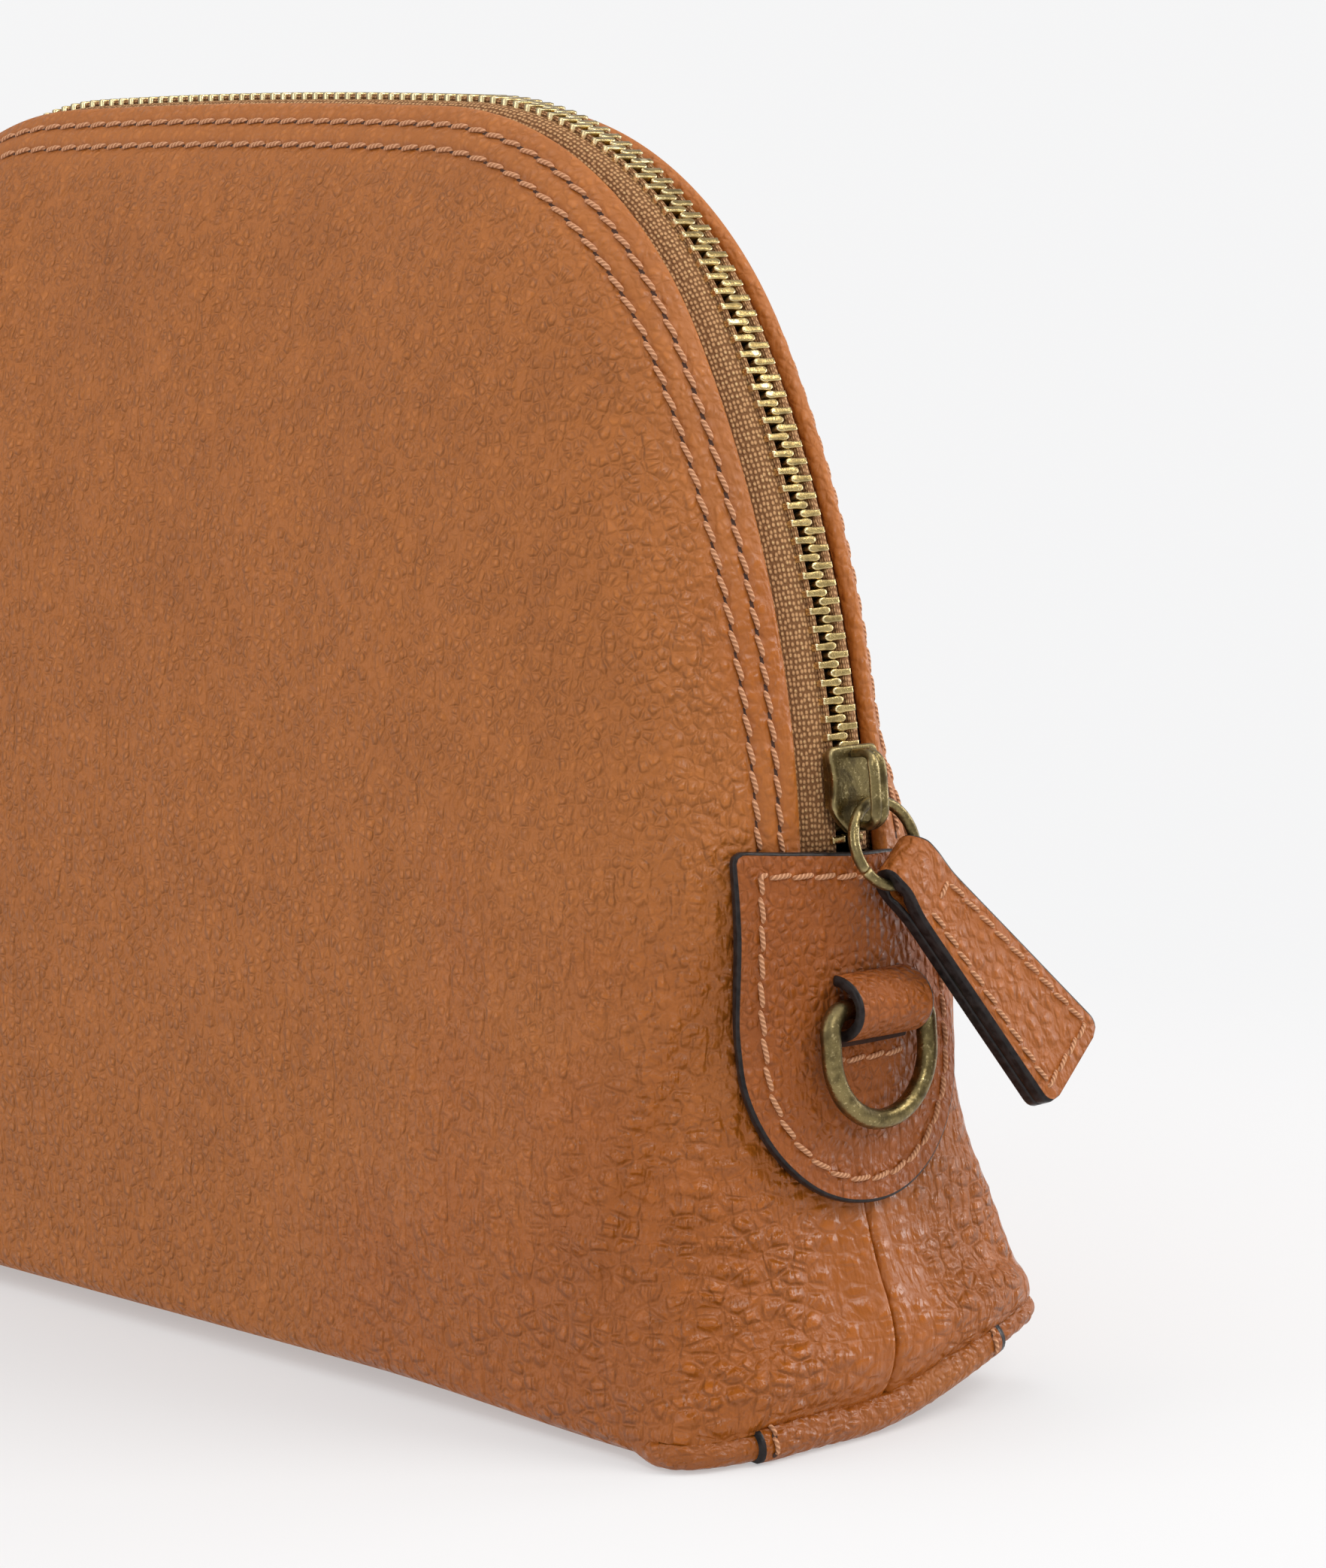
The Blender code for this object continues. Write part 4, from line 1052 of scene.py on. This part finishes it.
# ---------------------------------------------------------------- slider, crown and stops
def slider():
    """Slider plates with their rails and divider post, and the crown over them."""
    at = on_chain(SLIDER_RUN)
    half, end = SLIDER_HALF, SLIDER_LENGTH / 2

    def put(a, b, h):
        return at(a, b, h)

    side = [(-end, half * 0.62), (-end + 0.25, half * 0.90), (-end + 1.3, half), (-3.0, half * 0.93),
            (-1.2, half * 0.88), (0.4, half * 0.92), (1.8, half), (3.0, half * 0.95),
            (4.4, half * 0.72), (5.4, half * 0.50), (end, half * 0.30)]
    plan = side + [(a, -y) for a, y in reversed(side)]
    plan = anticlockwise(resample(spline(plan, 5), 0.6, True))
    top, bottom = GAP, -CHAIN_THICK - GAP
    parts = []
    for low, thick in ((top, 1.4), (bottom - 1.2, 1.2)):
        v, f, _ = plate(plan, thick, 0.42, put, step=1.2, base=low)
        parts.append((v, f))
    wedge = anticlockwise(resample(spline([(0.2, 0.0), (1.6, 1.1), (4.2, 1.0), (5.4, 0.0), (4.2, -1.0),
                                           (1.6, -1.1)], 5), 0.5, True))
    v, f, _ = plate(wedge, top - bottom + 0.6, 0.1, put, step=1.0, base=bottom - 0.3)
    parts.append((v, f))
    for sign in (-1, 1):
        rail = [(-end + 0.7, 3.55), (-end + 0.9, 4.05), (-3.0, 4.0), (0.0, 4.0), (2.4, 4.05), (2.6, 3.6)]
        rail = anticlockwise(resample([(a, sign * y) for a, y in rail], 0.4, True))
        for low, thick in ((-0.65, 1.3), (bottom - 0.3, 1.0)):
            v, f, _ = plate(rail, thick, 0.12, put, step=1.0, base=low)
            parts.append((v, f))
    piece("slider_plates", joined(parts), [ANTIQUE], "slider", ("slider_body",))
    foot, crest = top + 1.4 + 0.3, top + 1.4 + CROWN_HEIGHT
    middle = spline([(-4.9, foot), (-4.9, foot + 1.0), (-4.95, crest - 2.4), (-4.3, crest - 1.05),
                     (-2.8, crest - 0.55), (0.0, crest - 0.5), (2.8, crest - 0.55),
                     (4.3, crest - 1.05), (5.1, crest - 2.4), (5.1, foot + 1.0), (5.1, foot)],
                    5, closed=False)
    ahead = unit(np.gradient(middle, axis=0))
    out = np.stack([-ahead[:, 1], ahead[:, 0]], 1)
    w, t = CROWN_WIDTH / 2, 0.56
    section = [(-w + 0.5, -t), (-w, -t + 0.3), (-w, t - 0.45), (-w + 0.45, t), (-0.35, t + 0.05),
               (-0.12, t - 0.14), (0.12, t - 0.14), (0.35, t + 0.05), (w - 0.45, t), (w, t - 0.45),
               (w, -t + 0.3), (w - 0.5, -t)]
    section = resample(spline(section, 3), 0.3, True)
    narrow = 1 - 0.34 * smooth((np.abs(middle[:, 0]) - 3.4) / 1.7)
    vertices = []
    for p, o, k in zip(middle, out, narrow):
        for y, h in section:
            vertices.append(at(p[0] + o[0] * h, y * k, p[1] + o[1] * h))
    faces = swept_faces(len(middle), len(section))
    piece("crown", (np.array(vertices), faces), [ANTIQUE], "slider", ("slider_crown",))


slider()


def stops():
    for sign, word in ((-1, "front"), (1, "back")):
        at = on_chain(SLIDER_RUN + SLIDER_LENGTH / 2 + 1.0)
        plan = [(-0.5, 0.5 * sign), (0.5, 0.5 * sign), (0.5, 2.95 * sign), (-0.5, 2.95 * sign)]
        plan = anticlockwise(resample(plan, 0.25, True))
        v, f, _ = plate(plan, 2.05, 0.22, at, step=0.8, base=-CHAIN_THICK)
        piece("stop_" + word, (v, f), [BRASS], "pouch", ("top_stop_" + word,))
    at = on_chain(-(run_at(ZIP_LEFT_HEIGHT)) - 2.2)
    plan = anticlockwise(resample([(-1.8, -2.9), (1.8, -2.9), (1.8, 2.9), (-1.8, 2.9)], 0.4, True))
    v, f, _ = plate(plan, 2.7, 0.5, at, step=1.0, base=-CHAIN_THICK - 0.2)
    piece("stop_bottom", (v, f), [BRASS], "pouch", ("bottom_stop",))


stops()


# ---------------------------------------------------------------- jump ring and pull
def ring_frame():
    hole = np.array(on_chain(SLIDER_RUN)(2.2, 0.0, GAP + 1.4 + 1.65))
    hang = np.array([math.sin(RING_LEAN), 0.0, -math.cos(RING_LEAN)])
    centre = hole + np.array([0.0, 1.8, 0.0]) + hang * math.sqrt(RING_R**2 - 1.8**2)
    across = np.array([0.0, 1.0, 0.0])
    normal = np.array([math.cos(RING_LEAN), 0.0, math.sin(RING_LEAN)])
    return centre, across, hang, normal


def jump_ring():
    centre, across, hang, normal = ring_frame()
    split = math.radians(146.0)
    angle = np.linspace(split + 0.022, split + 2 * math.pi - 0.022, 97)
    spoke = np.cos(angle)[:, None] * across + np.sin(angle)[:, None] * hang
    v, f = tube(centre + RING_R * spoke, RING_WIRE, 16, closed=False, facing=normal)
    piece("jump_ring", (v, f), [ANTIQUE], "pull_ring", ("pull_ring",))


jump_ring()


def pull():
    """Leather strap folded through the jump ring and sewn round."""
    centre, across, hang, normal = ring_frame()
    length = math.cos(PULL_ANGLE) * across + math.sin(PULL_ANGLE) * hang
    width = math.sin(PULL_ANGLE) * across - math.cos(PULL_ANGLE) * hang
    root = centre + RING_R * length
    layer = 1.95
    slope = (PULL_END - PULL_NECK) / (PULL_LENGTH - 2.5)

    def half_at(a):
        h = (PULL_NECK + slope * np.maximum(a, 0.0)) / 2
        h = h * (1 - 0.12 * smooth((-a - 1.5) / 2.6))
        over = np.clip(a - (PULL_LENGTH - 2.4), 0.0, 2.4)
        return h - (2.4 - np.sqrt(np.maximum(2.4**2 - over**2, 0.0)))

    outer_top = [(PULL_LENGTH, 2.0), (30.0, 2.0), (20.0, 2.02), (10.0, 2.0), (5.0, 2.03), (2.6, 2.35),
                 (0.6, 2.72), (-1.4, 2.70), (-3.0, 2.10), (-3.9, 1.1), (-4.1, 0.0)]
    path = outer_top + [(a, -n) for a, n in outer_top[-2::-1]]
    path = resample(spline(path, 8, closed=False), 0.5)
    ahead = unit(np.gradient(path, axis=0))
    inward = np.stack([-ahead[:, 1], ahead[:, 0]], 1)
    inner = path + inward * layer
    inner[:, 1] = np.where(path[:, 1] > 0, np.maximum(inner[:, 1], 0.01), np.minimum(inner[:, 1], -0.01))
    near_root = path[:, 0] < 3.4
    hub = np.hypot(inner[:, 0], inner[:, 1])
    swell = np.maximum(hub, 1.16) / np.maximum(hub, 1e-6)
    inner = np.where(near_root[:, None], inner * swell[:, None], inner)
    cross_n = 15
    turned = [(c, 0.28 * (1 - math.cos(math.radians(c)))) for c in (30, 60, 90)]
    turned += [(90, 0.75), (85, 1.0), (0, 1.0)]
    vertices = []
    for p, q in zip(path, inner):
        h = float(half_at(p[0]))
        rim = min(0.5, h * 0.3)
        for t in np.linspace(-1, 1, cross_n):
            vertices.append(root + p[0] * length + t * (h - rim) * width + p[1] * normal)
        for side, levels in ((1, turned), (-1, turned[::-1])):
            for c, k in levels:
                m = p + (q - p) * k
                y = side * (h - rim + rim * math.sin(math.radians(c)))
                vertices.append(root + m[0] * length + y * width + m[1] * normal)
    size = cross_n + 12
    faces = swept_faces(len(path), size)
    painted = [0 if j < cross_n - 1 or j == cross_n + 5 else 1 for j in range(size)]
    index = painted * (len(path) - 1) + [1, 1]
    piece("pull_tab", (np.array(vertices), faces), [PULL, PAINT], "pull", ("pull_strap",),
          index=index)
    sewing = Sewing()
    for sign in (1.0, -1.0):
        first, last = 4.6, PULL_LENGTH - 2.3
        left = [(a, -(half_at(a) - 2.2)) for a in np.linspace(first, last, 30)]
        right = [(a, half_at(a) - 2.2) for a in np.linspace(last, first, 30)]
        outline = np.array(left + right + [left[0]], dtype=float)
        path = [root + a * length + y * width + sign * 1.94 * normal for a, y in outline]
        path = resample(np.array(path), 0.4)
        sewing.row(path, np.broadcast_to(sign * normal, path.shape), pitch=3.35, radius=0.34, start=0.2,
                   lift=0.22)
    sewing.make("thread_pull", "pull")


pull()


# ---------------------------------------------------------------- end tabs, loops, D-rings
def side_skin():
    """The pouch's right end as one surface, for laying the tab on it."""
    runs = np.arange(run_at(155.0), RUN[-1], 2.0)
    vertices, faces = [], []
    for back, closed in ((False, True), (True, True), (False, False), (True, False)):
        grid = columns(runs, closed, 60, back)[:, :61]
        if back:
            grid[..., 1] *= -1
        grid = lifted(grid)
        faces += grid_faces(grid.shape[0], grid.shape[1], len(vertices))
        vertices += [Vector(p) for p in grid.reshape(-1, 3)]
    return BVHTree.FromPolygons(vertices, faces)


SIDE = side_skin()
TAB_Y = np.arange(-27.0, 27.1, 1.5)
TAB_Z = np.arange(26.0, 90.1, 1.5)


def tab_field():
    """Smoothed position and face direction of the pouch's end, on a grid of width and height."""
    p = np.zeros((len(TAB_Y), len(TAB_Z), 3))
    n = np.zeros_like(p)
    for i, y in enumerate(TAB_Y):
        for j, z in enumerate(TAB_Z):
            aim = y if abs(y) > 0.05 else 0.05
            hit, normal, _, _ = SIDE.ray_cast(Vector((400.0, aim, z)), Vector((-1, 0, 0)))
            p[i, j] = hit
            n[i, j] = normal if normal.x > 0 else -normal
    for _ in range(2):
        for g in (p[..., 0:1], n):
            padded = np.pad(g, ((1, 1), (1, 1), (0, 0)), mode="edge")
            g[:] = (padded[:-2, 1:-1] + padded[2:, 1:-1] + padded[1:-1, :-2] + padded[1:-1, 2:]
                    + 4 * g) / 8
    return p[..., 0], unit(n)


END_X, END_N = tab_field()


def on_end(y, z, h, sign):
    """Point a height h off the pouch's end."""
    i = np.clip((y - TAB_Y[0]) / 1.5, 0, len(TAB_Y) - 1.001)
    j = np.clip((z - TAB_Z[0]) / 1.5, 0, len(TAB_Z) - 1.001)
    a, b = int(i), int(j)
    u, v = i - a, j - b
    x = ((1 - u) * (1 - v) * END_X[a, b] + u * (1 - v) * END_X[a + 1, b]
         + (1 - u) * v * END_X[a, b + 1] + u * v * END_X[a + 1, b + 1])
    n = unit((1 - u) * (1 - v) * END_N[a, b] + u * (1 - v) * END_N[a + 1, b]
             + (1 - u) * v * END_N[a, b + 1] + u * v * END_N[a + 1, b + 1])
    return np.array([sign * (x + n[0] * h), y + n[1] * h, z + n[2] * h]), n * (sign, 1, 1)


def tab_outline(edge):
    """Tab outline (width, height), moved inwards by edge."""
    half, top = TAB_HALF - edge, TAB_TOP - edge
    centre = TAB_BOTTOM + TAB_HALF
    corner = max(0.2, 1.6 - edge * 0.5)
    points = []
    for c in np.linspace(0, 90, 6):
        r = math.radians(c)
        points.append((half - corner + corner * math.cos(r), top - corner + corner * math.sin(r)))
    for c in np.linspace(90, 180, 6):
        r = math.radians(c)
        points.append((-half + corner + corner * math.cos(r), top - corner + corner * math.sin(r)))
    for c in np.linspace(180, 360, 41):
        r = math.radians(c)
        points.append((half * math.cos(r), centre + half * math.sin(r)))
    points = np.array(points)
    # The tab's rear top corner sits lower than its front one, behind the pull
    points[:, 1] -= 3.2 * smooth((points[:, 0] - 8.0) / 11.0) * smooth((points[:, 1] - 68.0) / 10.0)
    return points


def over_end(lift, sign):
    """Placing function for a plate that lies over the pouch's end."""
    return lambda a, b, h: on_end(a, b, lift + h, sign)[0]


def side_tab(sign, word):
    outline = anticlockwise(resample(tab_outline(0.0), 1.0, True))
    v, f, index = plate(outline, TAB_THICK, 0.45, over_end(TAB_GAP, sign), step=0.9)
    piece("tab_" + word, (v, f), [TAB, PAINT], "pouch", ("side_tab_" + word,), index=index)
    sewing = Sewing()
    ring = resample(np.concatenate([tab_outline(3.4), tab_outline(3.4)[:1]]), 0.6)
    bar = [(y, D_HEIGHT - 7.6) for y in np.linspace(-8.2, 8.2, 30)]
    for row, start in ((ring, 0.3), (bar, 0.2)):
        spots = [on_end(y, z, TAB_GAP + TAB_THICK - 0.06, sign) for y, z in row]
        sewing.row([p for p, _ in spots], [n for _, n in spots], start=start)
    sewing.make("thread_tab_" + word, "pouch")
    # Painted shade: the slit is a thin dark plate laid where the loop's strap goes into the tab
    slit = anticlockwise(resample([(-7.9, D_HEIGHT - 5.75), (7.9, D_HEIGHT - 5.75),
                                   (7.9, D_HEIGHT - 5.1), (-7.9, D_HEIGHT - 5.1)], 0.5, True))
    v, f, index = plate(slit, 0.29, 0.05, over_end(TAB_GAP + TAB_THICK - 0.25, sign), step=1.0)
    piece("slit_" + word, (v, f), [HOLE_SHADE, HOLE_SHADE], "pouch", (), index=index)


def ring_loop(face, sign, word):
    """Strap folded round the D-ring's bar, with both ends through the tab's slits."""
    root, half, thick = face + 0.3, LOOP_WIDTH / 2, LOOP_THICK
    rim = [(half - 0.45, 0.0), (half - 0.13, 0.13), (half, 0.45), (half, thick - 0.35),
           (half - 0.35, thick)]
    profile = [(-y, k) for y, k in rim] + rim[::-1]
    profile += [(y, 0.0) for y in np.linspace(half - 0.9, -half + 0.9, 12)]
    angle = np.radians(np.linspace(-90, 90, 41))
    vertices = [(sign * (root + (5.6 - k) * math.cos(r)), y, D_HEIGHT + (4.7 - k) * math.sin(r))
                for r in angle for y, k in profile]
    painted = [0 if j >= 9 or j == 4 else 1 for j in range(len(profile))]
    piece("loop_" + word, (np.array(vertices), swept_faces(len(angle), len(profile))), [TAB, PAINT],
          "pouch", ("ring_loop_" + word,), index=painted * (len(angle) - 1) + [1, 1])


def d_ring(face, sign, word):
    """D-ring of round wire hanging in its loop."""
    corner, straight = 3.0, D_DROP - D_HALF
    points = [(y, 0.0) for y in np.linspace(-(D_HALF - corner), D_HALF - corner, 14)]
    for c in np.linspace(12, 90, 8):
        r = math.radians(c)
        points.append((D_HALF - corner + corner * math.sin(r), corner * (1 - math.cos(r))))
    for c in np.linspace(0, 180, 41):
        r = math.radians(c)
        points.append((D_HALF * math.cos(r), straight + D_HALF * math.sin(r)))
    for c in np.linspace(90, 12, 8):
        r = math.radians(c)
        points.append((-(D_HALF - corner + corner * math.sin(r)), corner * (1 - math.cos(r))))
    points = resample(points, 0.7, True)
    bar = np.array([face + GAP + D_WIRE, 0.0, D_HEIGHT])
    down = np.array([math.sin(D_LEAN), 0.0, -math.cos(D_LEAN)])
    facing = np.array([math.cos(D_LEAN), 0.0, math.sin(D_LEAN)])
    path = np.array([bar + y * np.array([0, 1.0, 0]) + d * down for y, d in points])
    v, f = tube(path, D_WIRE, 20, closed=True, facing=facing)
    v = v * (sign, 1, 1)
    piece("d_ring_wire_" + word, (v, f), [ANTIQUE], "d_ring_" + word, ("d_ring_" + word,))


FACE = max(SIDE.ray_cast(Vector((400.0, y, D_HEIGHT + dz)), Vector((-1, 0, 0)))[0].x
           for y in (-7.0, 0.02, 7.0) for dz in (-5.0, 0.0, 5.0)) + TAB_GAP + TAB_THICK
for side, word in ((1, "right"), (-1, "left")):
    side_tab(side, word)
    ring_loop(FACE, side, word)
    d_ring(FACE, side, word)


# ---------------------------------------------------------------- base overlay
def base_overlay():
    """Flat panel under the pouch."""
    half = 0.345 * (2 * HALF_DEPTH)
    x_end = 121.8
    right = np.array([(x_end - 6.0, 0.8), (x_end - 4.0, 0.85), (x_end - 2.5, 1.1)])
    along = [(x, 0.8) for x in np.linspace(-(x_end - 8), x_end - 8, 120)]
    line = np.array([(-x, z) for x, z in right[::-1]] + along + list(map(tuple, right)))
    run = distances(line)
    ahead = unit(np.gradient(line, axis=0))
    down = np.stack([ahead[:, 1], -ahead[:, 0]], 1)

    def put(a, b, h):
        x, z = np.interp(a, run, line[:, 0]), np.interp(a, run, line[:, 1])
        nx, nz = np.interp(a, run, down[:, 0]), np.interp(a, run, down[:, 1])
        k = math.hypot(nx, nz)
        p = np.array([x + (h - 0.8) * nx / k, b, z + (h - 0.8) * nz / k])
        return lifted(p)

    plan = anticlockwise(resample([(0.0, -half), (run[-1], -half), (run[-1], half), (0.0, half)], 2.0, True))
    v, f, _ = plate(plan, 1.6, 0.4, put, step=2.5)
    piece("base_overlay", (v, f), [ROLL], "pouch", ("base_panel",))
    sewing = Sewing()
    for sign in (-1, 1):
        path = [put(a, sign * (half - 2.6), 1.58) for a in np.linspace(1.0, run[-1] - 1.0, 200)]
        normals = []
        for a in np.linspace(1.0, run[-1] - 1.0, 200):
            nx, nz = np.interp(a, run, down[:, 0]), np.interp(a, run, down[:, 1])
            normals.append((nx, 0.0, nz))
        sewing.row(path, normals, lift=0.1)
    sewing.make("thread_base", "pouch")


base_overlay()


def end_rolls():
    """Rolled lip along the bottom of each end, with the base overlay wrapped round its middle."""
    for sign, word in ((1, "right"), (-1, "left")):
        last = columns(np.array([RUN[-2], RUN[-1]]))[1, :CURVE_STEPS + 1]
        back = last * (1, -1, 1)
        tuck = np.array([[-6.0, 0.9, 0.4], [-4.0, 0.7, 0.2], [-2.0, 0.3, 0.0]])
        front_end, back_end = lifted(last)[-1], lifted(back)[-1]
        edge = np.concatenate([front_end + tuck, lifted(last)[::-1], lifted(back),
                               (back_end + tuck * (1, -1, 1))[::-1]])
        edge = resample(edge, 0.8)
        for _ in range(3):
            edge[1:-1] = (edge[:-2] + 2 * edge[1:-1] + edge[2:]) / 4
        ahead = unit(np.gradient(edge, axis=0))
        out = unit(np.stack([ahead[:, 1], -ahead[:, 0], np.zeros(len(edge))], 1))
        run = distances(edge)
        ends = smooth(run / 5.0) * smooth((run[-1] - run) / 5.0)
        radius = 1.5 + 0.55 * ends
        centre = edge - 1.15 * out - (0.0, 0.0, 1.95)
        centre[:, 2] = np.maximum(centre[:, 2], radius + 0.05)
        rng = np.random.default_rng(77)
        crimp = sum(np.sin(run * k + p) for k, p in zip(rng.uniform(1.6, 3.4, 8), rng.uniform(0, 6, 8)))
        wire = radius + 0.022 * crimp
        v, f = tube(centre, wire, 22, closed=False, facing=(0.0, 0.0, 1.0))
        v = v * (sign, 1, 1)
        piece("roll_" + word, (v, f), [ROLL], "pouch", ())
        keep = np.abs(edge[:, 1]) < 24.8
        sleeve, around = centre[keep], radius[keep] + 0.75 + 0.02 * crimp[keep]
        v, f = tube(sleeve, around, 26, closed=False, facing=(0.0, 0.0, 1.0))
        v = v * (sign, 1, 1)
        count = int(keep.sum())
        index = [1 if i // 26 in (0, count - 2) else 0 for i in range(26 * (count - 1))] + [1, 1]
        piece("overlay_wrap_" + word, (v, f), [ROLL, PAINT], "pouch", (), index=index)
        sewing = Sewing()
        for end in (3, count - 4):
            c, o = sleeve[end], out[keep][end]
            angle = np.radians(np.linspace(84, -72, 40))
            path = [c + around[end] * (math.cos(a) * o + math.sin(a) * np.array([0, 0, 1.0])) for a in angle]
            path = np.array(path) * (sign, 1, 1)
            normals = np.array([math.cos(a) * o + math.sin(a) * np.array([0, 0, 1.0]) for a in angle])
            sewing.row(path, normals * (sign, 1, 1), pitch=2.6, radius=0.34, start=0.1)
        sewing.make("thread_roll_" + word, "pouch")


end_rolls()


# ---------------------------------------------------------------- floor
def floor():
    """Pale sweep: takes shadows near the pouch and fades into the pale surroundings."""
    m, tree, shader = fresh("floor")
    shader.inputs["Base Color"].default_value = (0.80, 0.80, 0.805, 1.0)
    shader.inputs["Roughness"].default_value = 0.85
    shader.inputs["Specular IOR Level"].default_value = 0.1
    spot = node(tree, "ShaderNodeTexCoord").outputs["Object"]
    away = node(tree, "ShaderNodeVectorMath", {0: spot}, operation="LENGTH").outputs["Value"]
    glow = node(tree, "ShaderNodeEmission", {"Color": (0.925, 0.925, 0.93, 1.0), "Strength": 0.99})
    both = node(tree, "ShaderNodeMixShader", {0: span(tree, away, 0.16, 0.40, 0.45, 1.0), 1: shader.outputs[0],
                                              2: glow.outputs[0]})
    tree.links.new(both.outputs[0], tree.nodes["Material Output"].inputs[0])
    angle = np.linspace(0, 2 * math.pi, 64, endpoint=False)
    me = bpy.data.meshes.new("floor")
    me.from_pydata([(12 * math.cos(a), 12 * math.sin(a), -0.0002) for a in angle], [], [tuple(range(64))])
    me.materials.append(m)
    ob = bpy.data.objects.new("floor", me)
    scene.collection.objects.link(ob)


floor()
